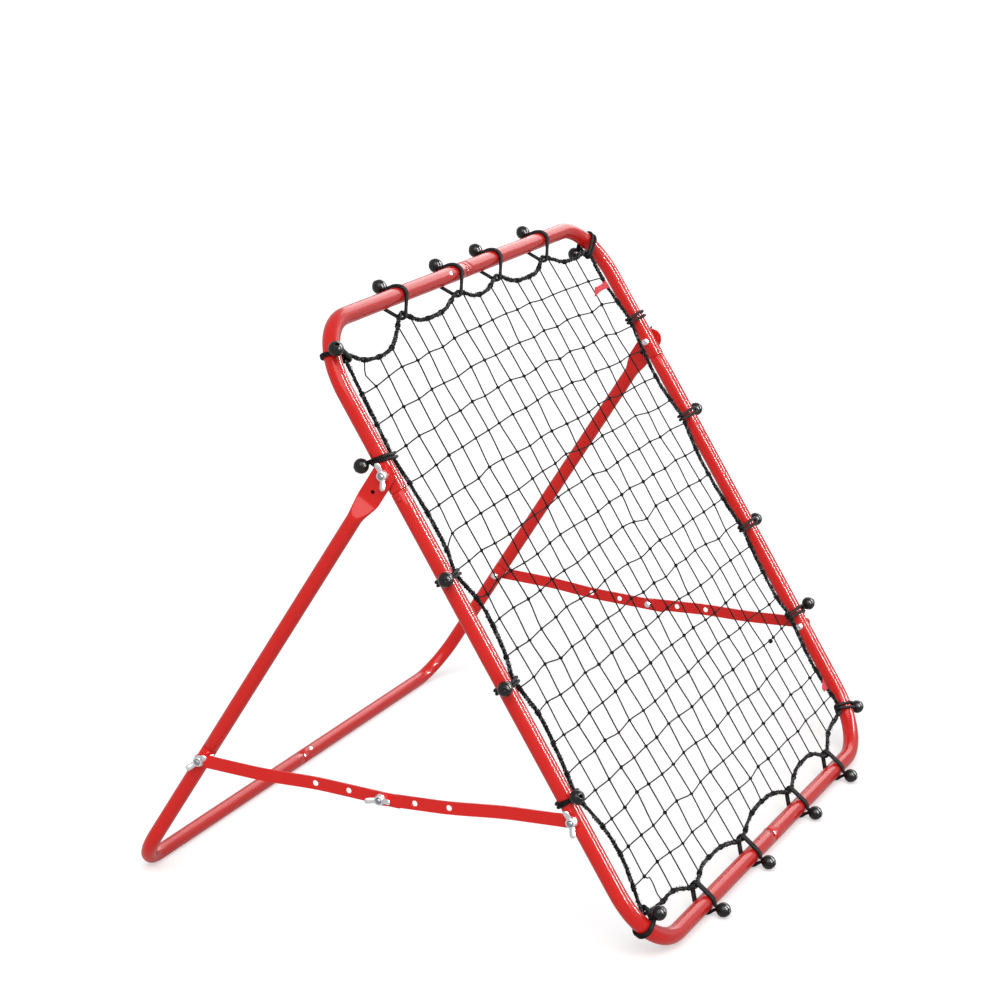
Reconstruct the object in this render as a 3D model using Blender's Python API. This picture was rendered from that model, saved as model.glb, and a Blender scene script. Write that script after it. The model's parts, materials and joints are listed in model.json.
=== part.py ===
"""Folding rebound net: a sprung net in a tilted tube frame, on a hinged rear stand.

Metres, +Z up. The frame leans back over +Y and the player stands at -Y.
The origin is on the floor, in the middle of the object's width and depth.
Left is -X. A piece at the right is the mirror image of its fellow at the left.
"""
import math

import bmesh
import bpy
from mathutils import Matrix, Vector

# Front frame
FRAME_WIDTH = 1.000            # outside to outside, across
FRAME_HEIGHT = 1.000           # outside to outside, up the slope
FRAME_TUBE = 0.025             # outside diameter
FRAME_BEND = 0.100             # corner radius on the centre line
FRAME_TILT = math.radians(57.4)
TUBE_WALL = 0.0012
SIDE_SEAM_BELOW_PIVOT = 0.029  # side joints, down from the pivot bolts
TOP_SEAM_X = -0.003
BOTTOM_SEAM_X = 0.001

# Rear stand
LEG_TUBE = 0.022               # outside diameter
LEG_TILT = math.radians(58.4)
LEG_BEND = 0.070               # corner radius on the centre line
LEG_SEAM_ABOVE_BOLT = 0.021
PIVOT_UP = 0.753               # pivot bolts, up from the bottom tube's centre line
TONGUE_THICKNESS = 0.003
TONGUE_FLAT = 0.040            # flattened length below the pivot
TONGUE_TAPER = 0.036           # length over which the tube goes flat
TONGUE_HOLE = 0.006            # spare hole in the tongue
TONGUE_HOLE_DOWN = 0.030
DRAIN_HOLE = 0.008             # low hole in each half of the floor bar
DRAIN_HOLE_X = 0.385

# Socketed joints between the tubes
SPIGOT_LENGTH = 0.070
SPIGOT_FIT = 0.0004            # between a spigot and the tube round it
SEAM_GAP = 0.0012

# Spring buttons that lock the sockets
BUTTON = 0.0075                # diameter
BUTTON_PROUD = 0.0015          # above the tube that it locks
BUTTON_FIT = 0.0004
SPRING_STRIP = 0.0006          # thickness of the spring steel
SPRING_WIDTH = 0.005
SPRING_LENGTH = 0.028
TOP_BUTTON_FROM_SEAM = 0.056
SIDE_BUTTON_FROM_SEAM = 0.010
BOTTOM_BUTTON_FROM_SEAM = 0.016
LEG_BUTTON_FROM_SEAM = 0.0085
BASE_BUTTON_FROM_SEAM = 0.030

# Link straps between the frame and the stand
FRAME_BOLT_UP = 0.2165         # up from the bottom tube's centre line
LEG_BOLT_UP = 0.225            # up the leg from the floor bar's centre line
LINK_SAG = math.radians(2.5)   # how far each strap hangs below the straight line
LINK_WIDTH = 0.019
LINK_THICKNESS = 0.0025
LINK_FLAT_END = 0.085          # straight stretch beside the tube it is bolted to
LINK_FLAT_MID = 0.087          # straight stretch before the middle bolt
LINK_HOLE_PITCH = 0.052
LINK_SPARE_HOLES = 2
REAR_LINK_BEYOND = 0.035       # strap past the middle bolt
FRONT_LINK_BEYOND = 0.012

# Bolts and wing nuts
BOLT = 0.008
BOLT_FIT = 0.0003              # round the bolt, in every hole and nut it passes through
BOLT_HEAD = 0.012
BOLT_HEAD_HEIGHT = 0.0045
BOLT_PAST_NUT = 0.002
NUT_HUB = 0.0155
NUT_HUB_TOP = 0.0125
NUT_HEIGHT = 0.0085
NUT_WING_SPAN = 0.039
NUT_WING_WIDTH = 0.0068
NUT_WING_DEPTH = 0.0044
NUT_WING_ROOT = 0.0056         # height of the wings' middle line at the hub
NUT_WING_RISE = 0.0065         # from there to the tips

# Net, border rope, elastic loops and their balls
NET_GAPS = 17                  # gaps along each side of the net
NET_TWINE = 0.0022
TWINE_BESIDE_LOOP = 0.0025     # between a loop and a twine tied to the rope beside it
ROPE = 0.006
CORD = 0.005                   # elastic cord, two strands side by side in each loop
CORD_PAIR = 0.0095
BALL = 0.022
BALL_SEAT = 0.001              # how far the ball's mouth comes down over its cords
TAB_LENGTH = 0.070             # ribbon tab sewn to the right-hand rope
TAB_WIDTH = 0.016
TAB_THICKNESS = 0.0010
TAB_BELOW_TOP = 0.107          # down from the top tube's centre line
TAB_TURN = math.radians(14)
TOUCH = 0.0003                 # between pieces that rest on each other

# Rope to tube, centre to centre: where a loop holds it, and midway between two loops
ROPE_HELD = {"top": 0.029, "bottom": 0.0285, "left": 0.0305, "right": 0.0265}
ROPE_SLACK = {"top": 0.0465, "bottom": 0.044, "left": 0.0445, "right": 0.040}

# Loops along each tube, and their balls' turns in degrees from outboard to the player.
# At the top and bottom they go by the distance from a side tube, minus for the left one.
LEVEL_TURN = math.degrees(FRAME_TILT)
LOOPS_AT = {
    "top": ((-0.2515, -25), (-0.4415, -25), (0.390, -25), (0.2075, -25)),
    "bottom": tuple((x, LEVEL_TURN) for x in (-0.2095, -0.4075, 0.3445, 0.1615)),
    "left": ((0.244, 59), (0.420, 26), (0.588, 26), (0.7785, -60)),
    "right": ((0.2415, 42), (0.406, 10), (0.615, 10), (0.7965, -28)),
}
# Corner loops: chord of the bend up or down from the side tube, rope distance, ball turn
CORNER_LOOPS = {
    ("top", "left"): (2, 0.0320, 48),
    ("top", "right"): (2, 0.0290, -115),
    ("bottom", "left"): (2, 0.0275, 115),
    ("bottom", "right"): (1, 0.0215, 20),
}

BEND_STEPS = 6
TUBE_SIDES = 12
BOLT_SIDES = 8
SIDES = {"left": -1, "right": 1}

# Sizes that follow from the ones above
TUBE_R = FRAME_TUBE / 2
LEG_R = LEG_TUBE / 2
HALF_W = FRAME_WIDTH / 2 - TUBE_R
HEIGHT = FRAME_HEIGHT - FRAME_TUBE
SIDE_SEAM_UP = PIVOT_UP - SIDE_SEAM_BELOW_PIVOT
SLOPE = Vector((0, math.cos(FRAME_TILT), math.sin(FRAME_TILT)))
FRONT = Vector((0, -math.sin(FRAME_TILT), math.cos(FRAME_TILT)))
LEG_UP = Vector((0, -math.cos(LEG_TILT), math.sin(LEG_TILT)))
LEG_FRONT = Vector((0, -math.sin(LEG_TILT), -math.cos(LEG_TILT)))
ACROSS = Vector((1, 0, 0))
SHOULDER = SEAM_GAP - TOUCH
HOLE_R = BOLT / 2 + BOLT_FIT
LOOP_BIG_R = TUBE_R / math.cos(math.pi / TUBE_SIDES) + TOUCH
LOOP_SMALL_R = ROPE / 2 + TOUCH
LOOP_BIG_STEPS = 8
LOOP_SMALL_STEPS = 3


def loop_outline(held, extra=0.0):
    """Outline of a loop round tube and rope, as (towards the rope, out) from the tube's centre."""
    big = LOOP_BIG_R + extra
    small = LOOP_SMALL_R + extra
    lean = math.acos((big - small) / held)
    points = []
    step = 2 * lean / LOOP_SMALL_STEPS
    for count in range(LOOP_SMALL_STEPS):
        angle = -lean + step * (count + 0.5)
        reach = small / math.cos(step / 2)
        points.append((held + reach * math.cos(angle), reach * math.sin(angle)))
    step = 2 * (math.pi - lean) / LOOP_BIG_STEPS
    for count in range(LOOP_BIG_STEPS):
        angle = lean + step * (count + 0.5)
        reach = big / math.cos(step / 2)
        points.append((reach * math.cos(angle), reach * math.sin(angle)))
    return points


def ball_distance(held):
    """From the tube's centre to the ball's, which sits on the loop's two strands."""
    corner = max(math.hypot(a, b) for a, b in loop_outline(held, CORD)[LOOP_SMALL_STEPS:])
    return corner - BALL_SEAT + BALL / 2


# The bottom loops pass under the front tube, so the frame rests on them
FLOOR_LIFT = max(-a * SLOPE.z - b * FRONT.z for a, b in loop_outline(ROPE_HELD["bottom"], CORD))
LEG_LENGTH = (FLOOR_LIFT + SLOPE.z * PIVOT_UP - LEG_R) / LEG_UP.z
FOOT_BEHIND = SLOPE.y * PIVOT_UP - LEG_UP.y * LEG_LENGTH
FRONT_REACH = ball_distance(ROPE_HELD["bottom"]) + BALL / 2
FRAME_BASE = Vector((0, (FRONT_REACH - FOOT_BEHIND - LEG_R) / 2, FLOOR_LIFT))
PIVOT = FRAME_BASE + SLOPE * PIVOT_UP
FOOT = PIVOT - LEG_UP * LEG_LENGTH
FRAME_BOLT_AT = FRAME_BASE + SLOPE * FRAME_BOLT_UP
LEG_BOLT_AT = FOOT + LEG_UP * LEG_BOLT_UP
LEG_SEAM_UP = LEG_BOLT_UP + LEG_SEAM_ABOVE_BOLT
LINK_CHORD = LEG_BOLT_AT - FRAME_BOLT_AT
LINK_LENGTH = LINK_CHORD.length / 2 / math.cos(LINK_SAG)
LINK_DROP = Vector((0, LINK_CHORD.z, -LINK_CHORD.y)).normalized() * math.sin(LINK_SAG)
MID_BOLT_AT = (FRAME_BOLT_AT + LEG_BOLT_AT) / 2 + LINK_DROP * LINK_LENGTH

# Planes beside the tubes, as distances from the middle of the object
TONGUE_SIDE = FRAME_WIDTH / 2 + BUTTON_PROUD + TOUCH
LEG_X = TONGUE_SIDE + LEG_R
FRAME_SIDE = FRAME_WIDTH / 2 + TOUCH
LEG_SIDE = LEG_X + LEG_R + TOUCH
LINK_STEP = (LEG_SIDE - FRAME_SIDE + LINK_THICKNESS + TOUCH) / 2
REAR_LINK_MID = LEG_SIDE - LINK_STEP
FRONT_LINK_MID = FRAME_SIDE + LINK_STEP

for old in list(bpy.data.objects):
    bpy.data.objects.remove(old, do_unlink=True)


def make_material(name, color, roughness, metallic=0.0):
    material = bpy.data.materials.new(name)
    material.use_nodes = True
    shader = material.node_tree.nodes["Principled BSDF"]
    shader.inputs["Base Color"].default_value = (*color, 1.0)
    shader.inputs["Roughness"].default_value = roughness
    shader.inputs["Metallic"].default_value = metallic
    return material


RED_PAINT = make_material("red_paint", (0.72, 0.015, 0.02), 0.25)
ZINC = make_material("zinc", (0.75, 0.76, 0.78), 0.3, 1.0)
BLACK_TWINE = make_material("black_twine", (0.012, 0.012, 0.012), 0.85)
BLACK_PLASTIC = make_material("black_plastic", (0.018, 0.018, 0.018), 0.4)
RED_RIBBON = make_material("red_ribbon", (0.7, 0.02, 0.03), 0.8)


def net_point(x, up, out=0.0):
    """A point across, up the slope, and out from the frame's middle plane to the player."""
    return FRAME_BASE + ACROSS * x + SLOPE * up + FRONT * out


def add_object(name, bm, material, side=1):
    """Turn a bmesh drawn for the right side into an object, mirrored for the left one."""
    if side < 0:
        bmesh.ops.scale(bm, vec=(-1, 1, 1), verts=bm.verts)
    bmesh.ops.recalc_face_normals(bm, faces=bm.faces)
    mesh = bpy.data.meshes.new(name)
    bm.to_mesh(mesh)
    bm.free()
    mesh.materials.append(material)
    mesh.shade_smooth()
    mesh.set_sharp_from_angle(angle=math.radians(40))
    made = bpy.data.objects.new(name, mesh)
    bpy.context.collection.objects.link(made)
    return made


def hang_on_axis(name, at, pieces):
    """Parent the pieces of a moving body to an empty on the axis that it moves about."""
    axis = bpy.data.objects.new(name, None)
    axis.location = at
    bpy.context.collection.objects.link(axis)
    for piece in pieces:
        piece.parent = axis
        piece.matrix_parent_inverse = Matrix.Translation(-at)


def combine(target, name, bm, side=1, operation="DIFFERENCE"):
    """Cut a helper's shape out of an object, or add it to the object."""
    helper = add_object(name, bm, ZINC, side)
    helper.hide_render = True
    helper.display_type = "WIRE"
    modifier = target.modifiers.new(name, "BOOLEAN")
    modifier.operation = operation
    modifier.solver = "EXACT"
    modifier.object = helper


def turn_to(direction, across=ACROSS):
    """Rotation that carries Z to a direction and keeps X as near as it can to another."""
    z = direction.normalized()
    x = (across - z * across.dot(z)).normalized()
    return Matrix((x, z.cross(x), z)).transposed().to_4x4()


def ring(bm, matrix, half_x, half_y, sides=TUBE_SIDES, flat=1.0):
    """A ring of vertices whose flats touch the ellipse; flat above 1 squares its long sides."""
    grow = 1 / math.cos(math.pi / sides)
    points = []
    for step in range(sides):
        angle = 2 * math.pi * (step + 0.5) / sides
        height = math.sin(angle) * grow
        if flat > 1:
            height = max(-1.0, min(1.0, height * flat))
        place = Vector((half_x * grow * math.cos(angle), half_y * height, 0))
        points.append(bm.verts.new(matrix @ place))
    return points


def join_rings(bm, rings, closed=False):
    pairs = list(zip(rings, rings[1:]))
    if closed:
        pairs.append((rings[-1], rings[0]))
    for low, high in pairs:
        for step in range(len(low)):
            after = (step + 1) % len(low)
            bm.faces.new((low[step], low[after], high[after], high[step]))


def capped(bm, rings):
    join_rings(bm, rings)
    bm.faces.new(rings[0])
    bm.faces.new(rings[-1])


def lathe(bm, matrix, profile, sides):
    """Turn a profile of (radius, height) round Z into a solid."""
    capped(bm, [ring(bm, matrix @ Matrix.Translation((0, 0, height)), radius, radius, sides)
                for radius, height in profile])


def box(bm, matrix, low, high):
    made = bmesh.ops.create_cube(bm, size=1.0)["verts"]
    bmesh.ops.scale(bm, vec=[b - a for a, b in zip(low, high)], verts=made)
    bmesh.ops.translate(bm, vec=[(a + b) / 2 for a, b in zip(low, high)], verts=made)
    bmesh.ops.transform(bm, matrix=matrix, verts=made)


def drill(target, name, at, side=1, direction=ACROSS, radius=HOLE_R, both_ways=True):
    """A round hole through an object; one way only, it starts at the point given."""
    reach = 0.03
    bm = bmesh.new()
    low = -reach if both_ways else 0.0
    lathe(bm, Matrix.Translation(at) @ turn_to(direction, SLOPE), [(radius, low), (radius, reach)],
          BOLT_SIDES)
    combine(target, name, bm, side)


def bent_path(start, corner, end, bend):
    """Stations along a start, a rounded corner and an end, each a point and a direction."""
    first = (corner - start).normalized()
    last = (end - corner).normalized()
    centre = corner - first * bend + last * bend
    stations = [(start, first)]
    for step in range(BEND_STEPS + 1):
        angle = math.pi / 2 * step / BEND_STEPS
        direction = first * math.cos(angle) + last * math.sin(angle)
        stations.append((centre + (first * math.sin(angle) - last * math.cos(angle)) * bend,
                         direction))
    stations.append((end, last))
    return stations


def hollow_tube(bm, stations, radius, facet_start, facet_end, spigot_start, spigot_end):
    """Sweep a tube with open ends; a spigot is an end drawn down to fit the next tube."""
    neck = radius - TUBE_WALL - SPIGOT_FIT
    rows = [(point, direction, radius) for point, direction in stations]
    if spigot_start:
        point, direction = stations[0]
        rows = [(point - direction * SPIGOT_LENGTH, direction, neck),
                (point - direction * SHOULDER, direction, neck)] + rows
    if spigot_end:
        point, direction = stations[-1]
        rows += [(point + direction * SHOULDER, direction, neck),
                 (point + direction * SPIGOT_LENGTH, direction, neck)]
    last = stations[-1][1]
    outer = []
    inner = []
    for point, direction, size in rows:
        facet = facet_start.lerp(facet_end, max(0.0, direction.dot(last)))
        matrix = Matrix.Translation(point) @ turn_to(direction, facet)
        outer.append(ring(bm, matrix, size, size))
        inner.append(ring(bm, matrix, size - TUBE_WALL, size - TUBE_WALL))
    join_rings(bm, outer + list(reversed(inner)), closed=True)


def net_frame_tube(name, side, top):
    """One corner of the front frame; each of the four is pushed into the next."""
    level = HEIGHT if top else 0.0
    seam_x = TOP_SEAM_X if top else BOTTOM_SEAM_X
    gap = SEAM_GAP / 2
    stations = bent_path(net_point(seam_x * side + gap, level), net_point(HALF_W, level),
                         net_point(HALF_W, SIDE_SEAM_UP + (gap if top else -gap)), FRAME_BEND)
    bm = bmesh.new()
    spigot_across = side > 0 if top else side < 0
    hollow_tube(bm, stations, TUBE_R, FRONT, FRONT, spigot_across, top)
    tube = add_object(name, bm, RED_PAINT, side)
    drill(tube, name + "_bolt_hole", net_point(HALF_W, PIVOT_UP if top else FRAME_BOLT_UP), side)
    return tube


def rear_leg(name, side):
    """A straight leg: its top is pressed flat into a tongue, its foot drawn down to a spigot."""
    seam = FOOT + LEG_UP * (LEG_SEAM_UP + SEAM_GAP / 2) + ACROSS * LEG_X
    pivot = PIVOT + ACROSS * LEG_X
    neck = LEG_R - TUBE_WALL - SPIGOT_FIT
    bm = bmesh.new()
    turned = turn_to(LEG_UP, LEG_FRONT)

    def section(point, half_width, half_depth, inward=0.0, flat=1.0):
        matrix = Matrix.Translation(point - ACROSS * inward) @ turned
        return ring(bm, matrix, half_width, half_depth, TUBE_SIDES, flat)

    # Pressing a tube flat keeps the distance round it, and its inner side stays in line
    half_width = math.pi * LEG_TUBE / 4
    half_depth = TONGUE_THICKNESS / 2
    inward = LEG_R - half_depth
    taper_foot = pivot - LEG_UP * (TONGUE_FLAT + TONGUE_TAPER)
    outer = [section(seam - LEG_UP * SPIGOT_LENGTH, neck, neck),
             section(seam - LEG_UP * SHOULDER, neck, neck),
             section(seam, LEG_R, LEG_R),
             section(taper_foot, LEG_R, LEG_R)]
    for share in (0.3, 0.65):
        press = share * share * (3 - 2 * share)
        outer.append(section(taper_foot + LEG_UP * TONGUE_TAPER * share,
                             LEG_R + (half_width - LEG_R) * press,
                             LEG_R + (half_depth - LEG_R) * press, inward * press, 1 + press))
    squared = 4.0
    outer.append(section(pivot - LEG_UP * TONGUE_FLAT, half_width, half_depth, inward, squared))
    for degrees in (0, 28, 52, 74):
        turn = math.radians(degrees)
        outer.append(section(pivot + LEG_UP * half_width * math.sin(turn),
                             half_width * math.cos(turn), half_depth, inward, squared))
    bore = [section(taper_foot, LEG_R - TUBE_WALL, LEG_R - TUBE_WALL),
            section(seam, LEG_R - TUBE_WALL, LEG_R - TUBE_WALL),
            section(seam - LEG_UP * SHOULDER, neck - TUBE_WALL, neck - TUBE_WALL),
            section(seam - LEG_UP * SPIGOT_LENGTH, neck - TUBE_WALL, neck - TUBE_WALL)]
    capped(bm, bore + outer)
    leg = add_object(name, bm, RED_PAINT, side)
    drill(leg, name + "_pivot_hole", pivot, side)
    drill(leg, name + "_spare_hole", pivot - LEG_UP * TONGUE_HOLE_DOWN, side,
          radius=TONGUE_HOLE / 2)
    drill(leg, name + "_bolt_hole", LEG_BOLT_AT + ACROSS * LEG_X, side)
    return leg


def rear_base(name, side):
    """An L-shaped floor tube that takes the leg in its upright end."""
    gap = SEAM_GAP / 2
    corner = FOOT + ACROSS * LEG_X
    stations = bent_path(FOOT + ACROSS * gap, corner, corner + LEG_UP * (LEG_SEAM_UP - gap),
                         LEG_BEND)
    bm = bmesh.new()
    # On the floor bar one facet lies flat on the floor
    floor_facet = Vector((0, -math.sin(math.pi / 3), -math.cos(math.pi / 3)))
    hollow_tube(bm, stations, LEG_R, floor_facet, LEG_FRONT, side < 0, False)
    base = add_object(name, bm, RED_PAINT, side)
    drill(base, name + "_bolt_hole", LEG_BOLT_AT + ACROSS * LEG_X, side)
    low_front = Vector((0, -math.sin(math.pi / 6), -math.cos(math.pi / 6)))
    drill(base, name + "_drain_hole", FOOT + ACROSS * DRAIN_HOLE_X, side, low_front,
          DRAIN_HOLE / 2, both_ways=False)
    return base


def leaf_level(radius):
    """Height of a flat spring inside a spigot, above the axis of a tube of this radius."""
    bore = radius - 2 * TUBE_WALL - SPIGOT_FIT
    return math.sqrt(bore ** 2 - (SPRING_WIDTH / 2) ** 2) - TOUCH


def snap_button(name, at, outward, along, radius, side, locked):
    """A button on its leaf of spring steel, and its holes in the tubes that it locks."""
    matrix = Matrix.Translation(at) @ turn_to(outward, along)
    leaf_top = leaf_level(radius)
    tip = radius + BUTTON_PROUD
    bm = bmesh.new()
    lathe(bm, matrix, [(BUTTON / 2, leaf_top - SPRING_STRIP / 2), (BUTTON / 2, tip - BUTTON / 8),
                       (BUTTON / 3, tip - BUTTON / 30), (BUTTON / 12, tip)], BOLT_SIDES)
    button = add_object(name, bm, ZINC, side)
    leaf = bmesh.new()
    start = -BUTTON / 2 - TOUCH
    box(leaf, matrix, (start, -SPRING_WIDTH / 2, leaf_top - SPRING_STRIP),
        (start + SPRING_LENGTH, SPRING_WIDTH / 2, leaf_top))
    combine(button, name + "_leaf", leaf, side, "UNION")
    for tube in locked:
        drill(tube, name + "_hole_in_" + tube.name, at, side, outward, BUTTON / 2 + BUTTON_FIT,
              both_ways=False)
    mirrored = Vector((at.x * side, at.y, at.z))
    hang_on_axis(name + "_axis", mirrored, [button])


def strap(name, side, base, base_plane, mid_plane, beyond):
    """A flat link with round ends, stepped sideways so that the two cross at the middle bolt."""
    towards = (MID_BOLT_AT - base).normalized()
    upright = towards.cross(ACROSS)
    half = LINK_WIDTH / 2
    slant = LINK_LENGTH - LINK_FLAT_END - LINK_FLAT_MID
    last = LINK_LENGTH + beyond - half
    round_end = [math.radians(degrees) for degrees in (0, 24, 48, 72)]
    rows = [(-half * math.sin(turn), half * math.cos(turn), 0.0) for turn in round_end[::-1]]
    rows += [(LINK_FLAT_END + slant * share, half, share * share * (3 - 2 * share))
             for share in (0.0, 0.35, 0.65, 1.0)]
    rows += [(last + half * math.sin(turn), half * math.cos(turn), 1.0) for turn in round_end]
    bm = bmesh.new()
    rings = []
    for along, half_width, step in rows:
        inner = base_plane + (mid_plane - base_plane) * step
        rings.append([bm.verts.new(base + towards * along + upright * across + ACROSS * x)
                      for x, across in ((inner, -half_width), (inner + LINK_THICKNESS, -half_width),
                                        (inner + LINK_THICKNESS, half_width), (inner, half_width))])
    capped(bm, rings)
    link = add_object(name, bm, RED_PAINT, side)
    drill(link, name + "_base_hole", base + ACROSS * base_plane, side)
    for count in range(LINK_SPARE_HOLES + 1):
        at = MID_BOLT_AT - towards * LINK_HOLE_PITCH * count + ACROSS * mid_plane
        drill(link, f"{name}_hole_{count}", at, side)
    return link


def bolt(name, side, at, start, end, head=True):
    """A bolt along X, drawn a little under size so that its corners run on the true diameter."""
    radius = BOLT / 2 * math.cos(math.pi / BOLT_SIDES)
    profile = [(radius, start), (radius, end - BOLT / 10), (radius * 0.8, end)]
    if head:
        profile = [(BOLT_HEAD / 2 * 0.7, start - BOLT_HEAD_HEIGHT),
                   (BOLT_HEAD / 2, start - BOLT_HEAD_HEIGHT / 2), (BOLT_HEAD / 2, start)] + profile
    bm = bmesh.new()
    lathe(bm, Matrix.Translation(at) @ turn_to(ACROSS, SLOPE), profile, BOLT_SIDES)
    return add_object(name, bm, ZINC, side)


def wing_nut_mesh():
    """The wing nut that all eight bolts share: its axis is Z and its wings lie along X."""
    hub = bmesh.new()
    lathe(hub, Matrix.Identity(4), [(NUT_HUB / 2, 0), (NUT_HUB_TOP / 2, NUT_HEIGHT)], 12)
    body = add_object("nut_hub", hub, ZINC)
    wings = bmesh.new()
    rings = []
    for reach, rise, size in ((-1.0, 1.0, 0.55), (-0.9, 0.88, 0.9), (-0.62, 0.45, 1.0), (0, 0, 1.0),
                              (0.62, 0.45, 1.0), (0.9, 0.88, 0.9), (1.0, 1.0, 0.55)):
        place = Vector((reach * NUT_WING_SPAN / 2, 0, NUT_WING_ROOT + NUT_WING_RISE * rise))
        matrix = Matrix.Translation(place) @ turn_to(Vector((1, 0, reach * 0.6)), Vector((0, 1, 0)))
        rings.append(ring(wings, matrix, NUT_WING_WIDTH / 2 * size, NUT_WING_DEPTH / 2 * size, 6))
    capped(wings, rings)
    combine(body, "nut_wings", wings, 1, "UNION")
    drill(body, "nut_bore", Vector((0, 0, 0)), direction=Vector((0, 0, 1)))
    evaluated = body.evaluated_get(bpy.context.evaluated_depsgraph_get())
    mesh = bpy.data.meshes.new_from_object(evaluated)
    mesh.name = "wing_nut"
    for made in [body] + [modifier.object for modifier in body.modifiers]:
        bpy.data.objects.remove(made, do_unlink=True)
    return mesh


def wing_nut(name, mesh, side, at, base, wings):
    nut = bpy.data.objects.new(name, mesh)
    place = Matrix.Translation(at + ACROSS * base * side)
    nut.matrix_world = place @ turn_to(ACROSS * side, wings)
    bpy.context.collection.objects.link(nut)


def along_tube(tube, at):
    """A loop's place along its tube, across or up, from its number in LOOPS_AT."""
    return at if tube in SIDES else math.copysign(HALF_W - abs(at), at)


def loop_place(where, item):
    """Centre on the tube, direction to the rope, rope distance and ball turn of one loop."""
    if where in LOOPS_AT:
        at, turn = item
        at = along_tube(where, at)
        if where in SIDES:
            return (SIDES[where] * HALF_W, at), (-SIDES[where], 0), ROPE_HELD[where], turn
        level, inward = (HEIGHT, -1) if where == "top" else (0.0, 1)
        return (at, level), (0, inward), ROPE_HELD[where], turn
    level, hand = where
    chord, held, turn = item
    half_step = math.pi / 4 / BEND_STEPS
    angle = half_step * (2 * chord + 1)
    across = SIDES[hand] * math.cos(angle)
    upward = math.sin(angle) * (1 if level == "top" else -1)
    bend_up = HEIGHT - FRAME_BEND if level == "top" else FRAME_BEND
    reach = FRAME_BEND * math.cos(half_step)
    centre = (SIDES[hand] * (HALF_W - FRAME_BEND) + reach * across, bend_up + reach * upward)
    return centre, (-across, -upward), held, turn


def loops_round():
    """All the loops as name, tube and place, anticlockwise from the lower left corner."""
    found = []
    for corner, tube in ((("bottom", "left"), "bottom"), (("bottom", "right"), "right"),
                         (("top", "right"), "top"), (("top", "left"), "left")):
        found.append(("corner_" + "_".join(corner), corner[0],
                      loop_place(corner, CORNER_LOOPS[corner])))
        numbered = list(enumerate(LOOPS_AT[tube], 1))
        if tube in ("top", "left"):
            numbered.reverse()
        found += [(f"{tube}_{number}", tube, loop_place(tube, item)) for number, item in numbered]
    return found


def ball_bungee(name, place):
    """An elastic loop of two strands round tube and rope, drawn tight by the ball on it."""
    (x, up), (in_x, in_up), held, turn = place
    centre = net_point(x, up)
    inward = ACROSS * in_x + SLOPE * in_up
    half = FRONT.cross(inward) * CORD_PAIR / 2
    bm = bmesh.new()
    rings = []
    for (a, b), (c, d) in zip(loop_outline(held), loop_outline(held, CORD)):
        inner = centre + inward * a + FRONT * b
        outer = centre + inward * c + FRONT * d
        rings.append([bm.verts.new(point) for point in (inner - half, outer - half,
                                                        outer + half, inner + half)])
    join_rings(bm, rings, closed=True)
    loop = add_object(name, bm, BLACK_PLASTIC)
    angle = math.radians(turn)
    direction = FRONT * math.sin(angle) - inward * math.cos(angle)
    matrix = Matrix.Translation(centre + direction * ball_distance(held)) @ turn_to(direction, half)
    ball = bmesh.new()
    bmesh.ops.create_icosphere(ball, subdivisions=2, radius=BALL / 2, matrix=matrix)
    combine(loop, name + "_ball", ball, 1, "UNION")


def rope_route(loops):
    """Corners of the rope as (x, up): straight through each loop, slack between loops."""
    straight = (CORD_PAIR + ROPE) / 2
    held = []
    for where, ((x, up), (in_x, in_up), distance, turn) in loops:
        point = Vector((x + in_x * distance, up + in_up * distance))
        tangent = Vector((in_up, -in_x)) * straight
        held.append((where, point - tangent, point + tangent))
    route = []
    for (where, before, start), (next_where, end, beyond) in zip(held, held[1:] + held[:1]):
        route += [before, start]
        span = end - start
        inward = Vector((-span.y, span.x)).normalized()
        slack = max(ROPE_SLACK[name] - ROPE_HELD[name] for name in (where, next_where))
        for share in (0.2, 0.5, 0.8):
            route.append(start + span * share + inward * slack * math.sin(math.pi * share))
    return route


def rope_crossing(route, axis, value, far):
    """Where a straight twine meets the rope's edge, along the twine, with room to touch it."""
    found = []
    for start, end in zip(route, route[1:] + route[:1]):
        span = end - start
        if min(start[axis], end[axis]) <= value < max(start[axis], end[axis]):
            share = (value - start[axis]) / span[axis]
            sine = abs(span[axis]) / span.length
            slip = NET_TWINE / 2 * abs(span[1 - axis]) / span.length
            found.append((start[1 - axis] + span[1 - axis] * share,
                          (ROPE / 2 + TOUCH + slip) / sine))
    place, short = max(found) if far else min(found)
    return place - short if far else place + short


def beside_loops(value, axis, far):
    """Where a twine is tied along the rope: beside any loop that it would run into."""
    tube = (("bottom", "top"), ("left", "right"))[axis][far]
    clear = (CORD_PAIR + NET_TWINE) / 2 + TWINE_BESIDE_LOOP
    for item, turn in LOOPS_AT[tube]:
        at = along_tube(tube, item)
        if abs(value - at) < clear:
            return at + math.copysign(clear, value - at)
    return value


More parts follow.
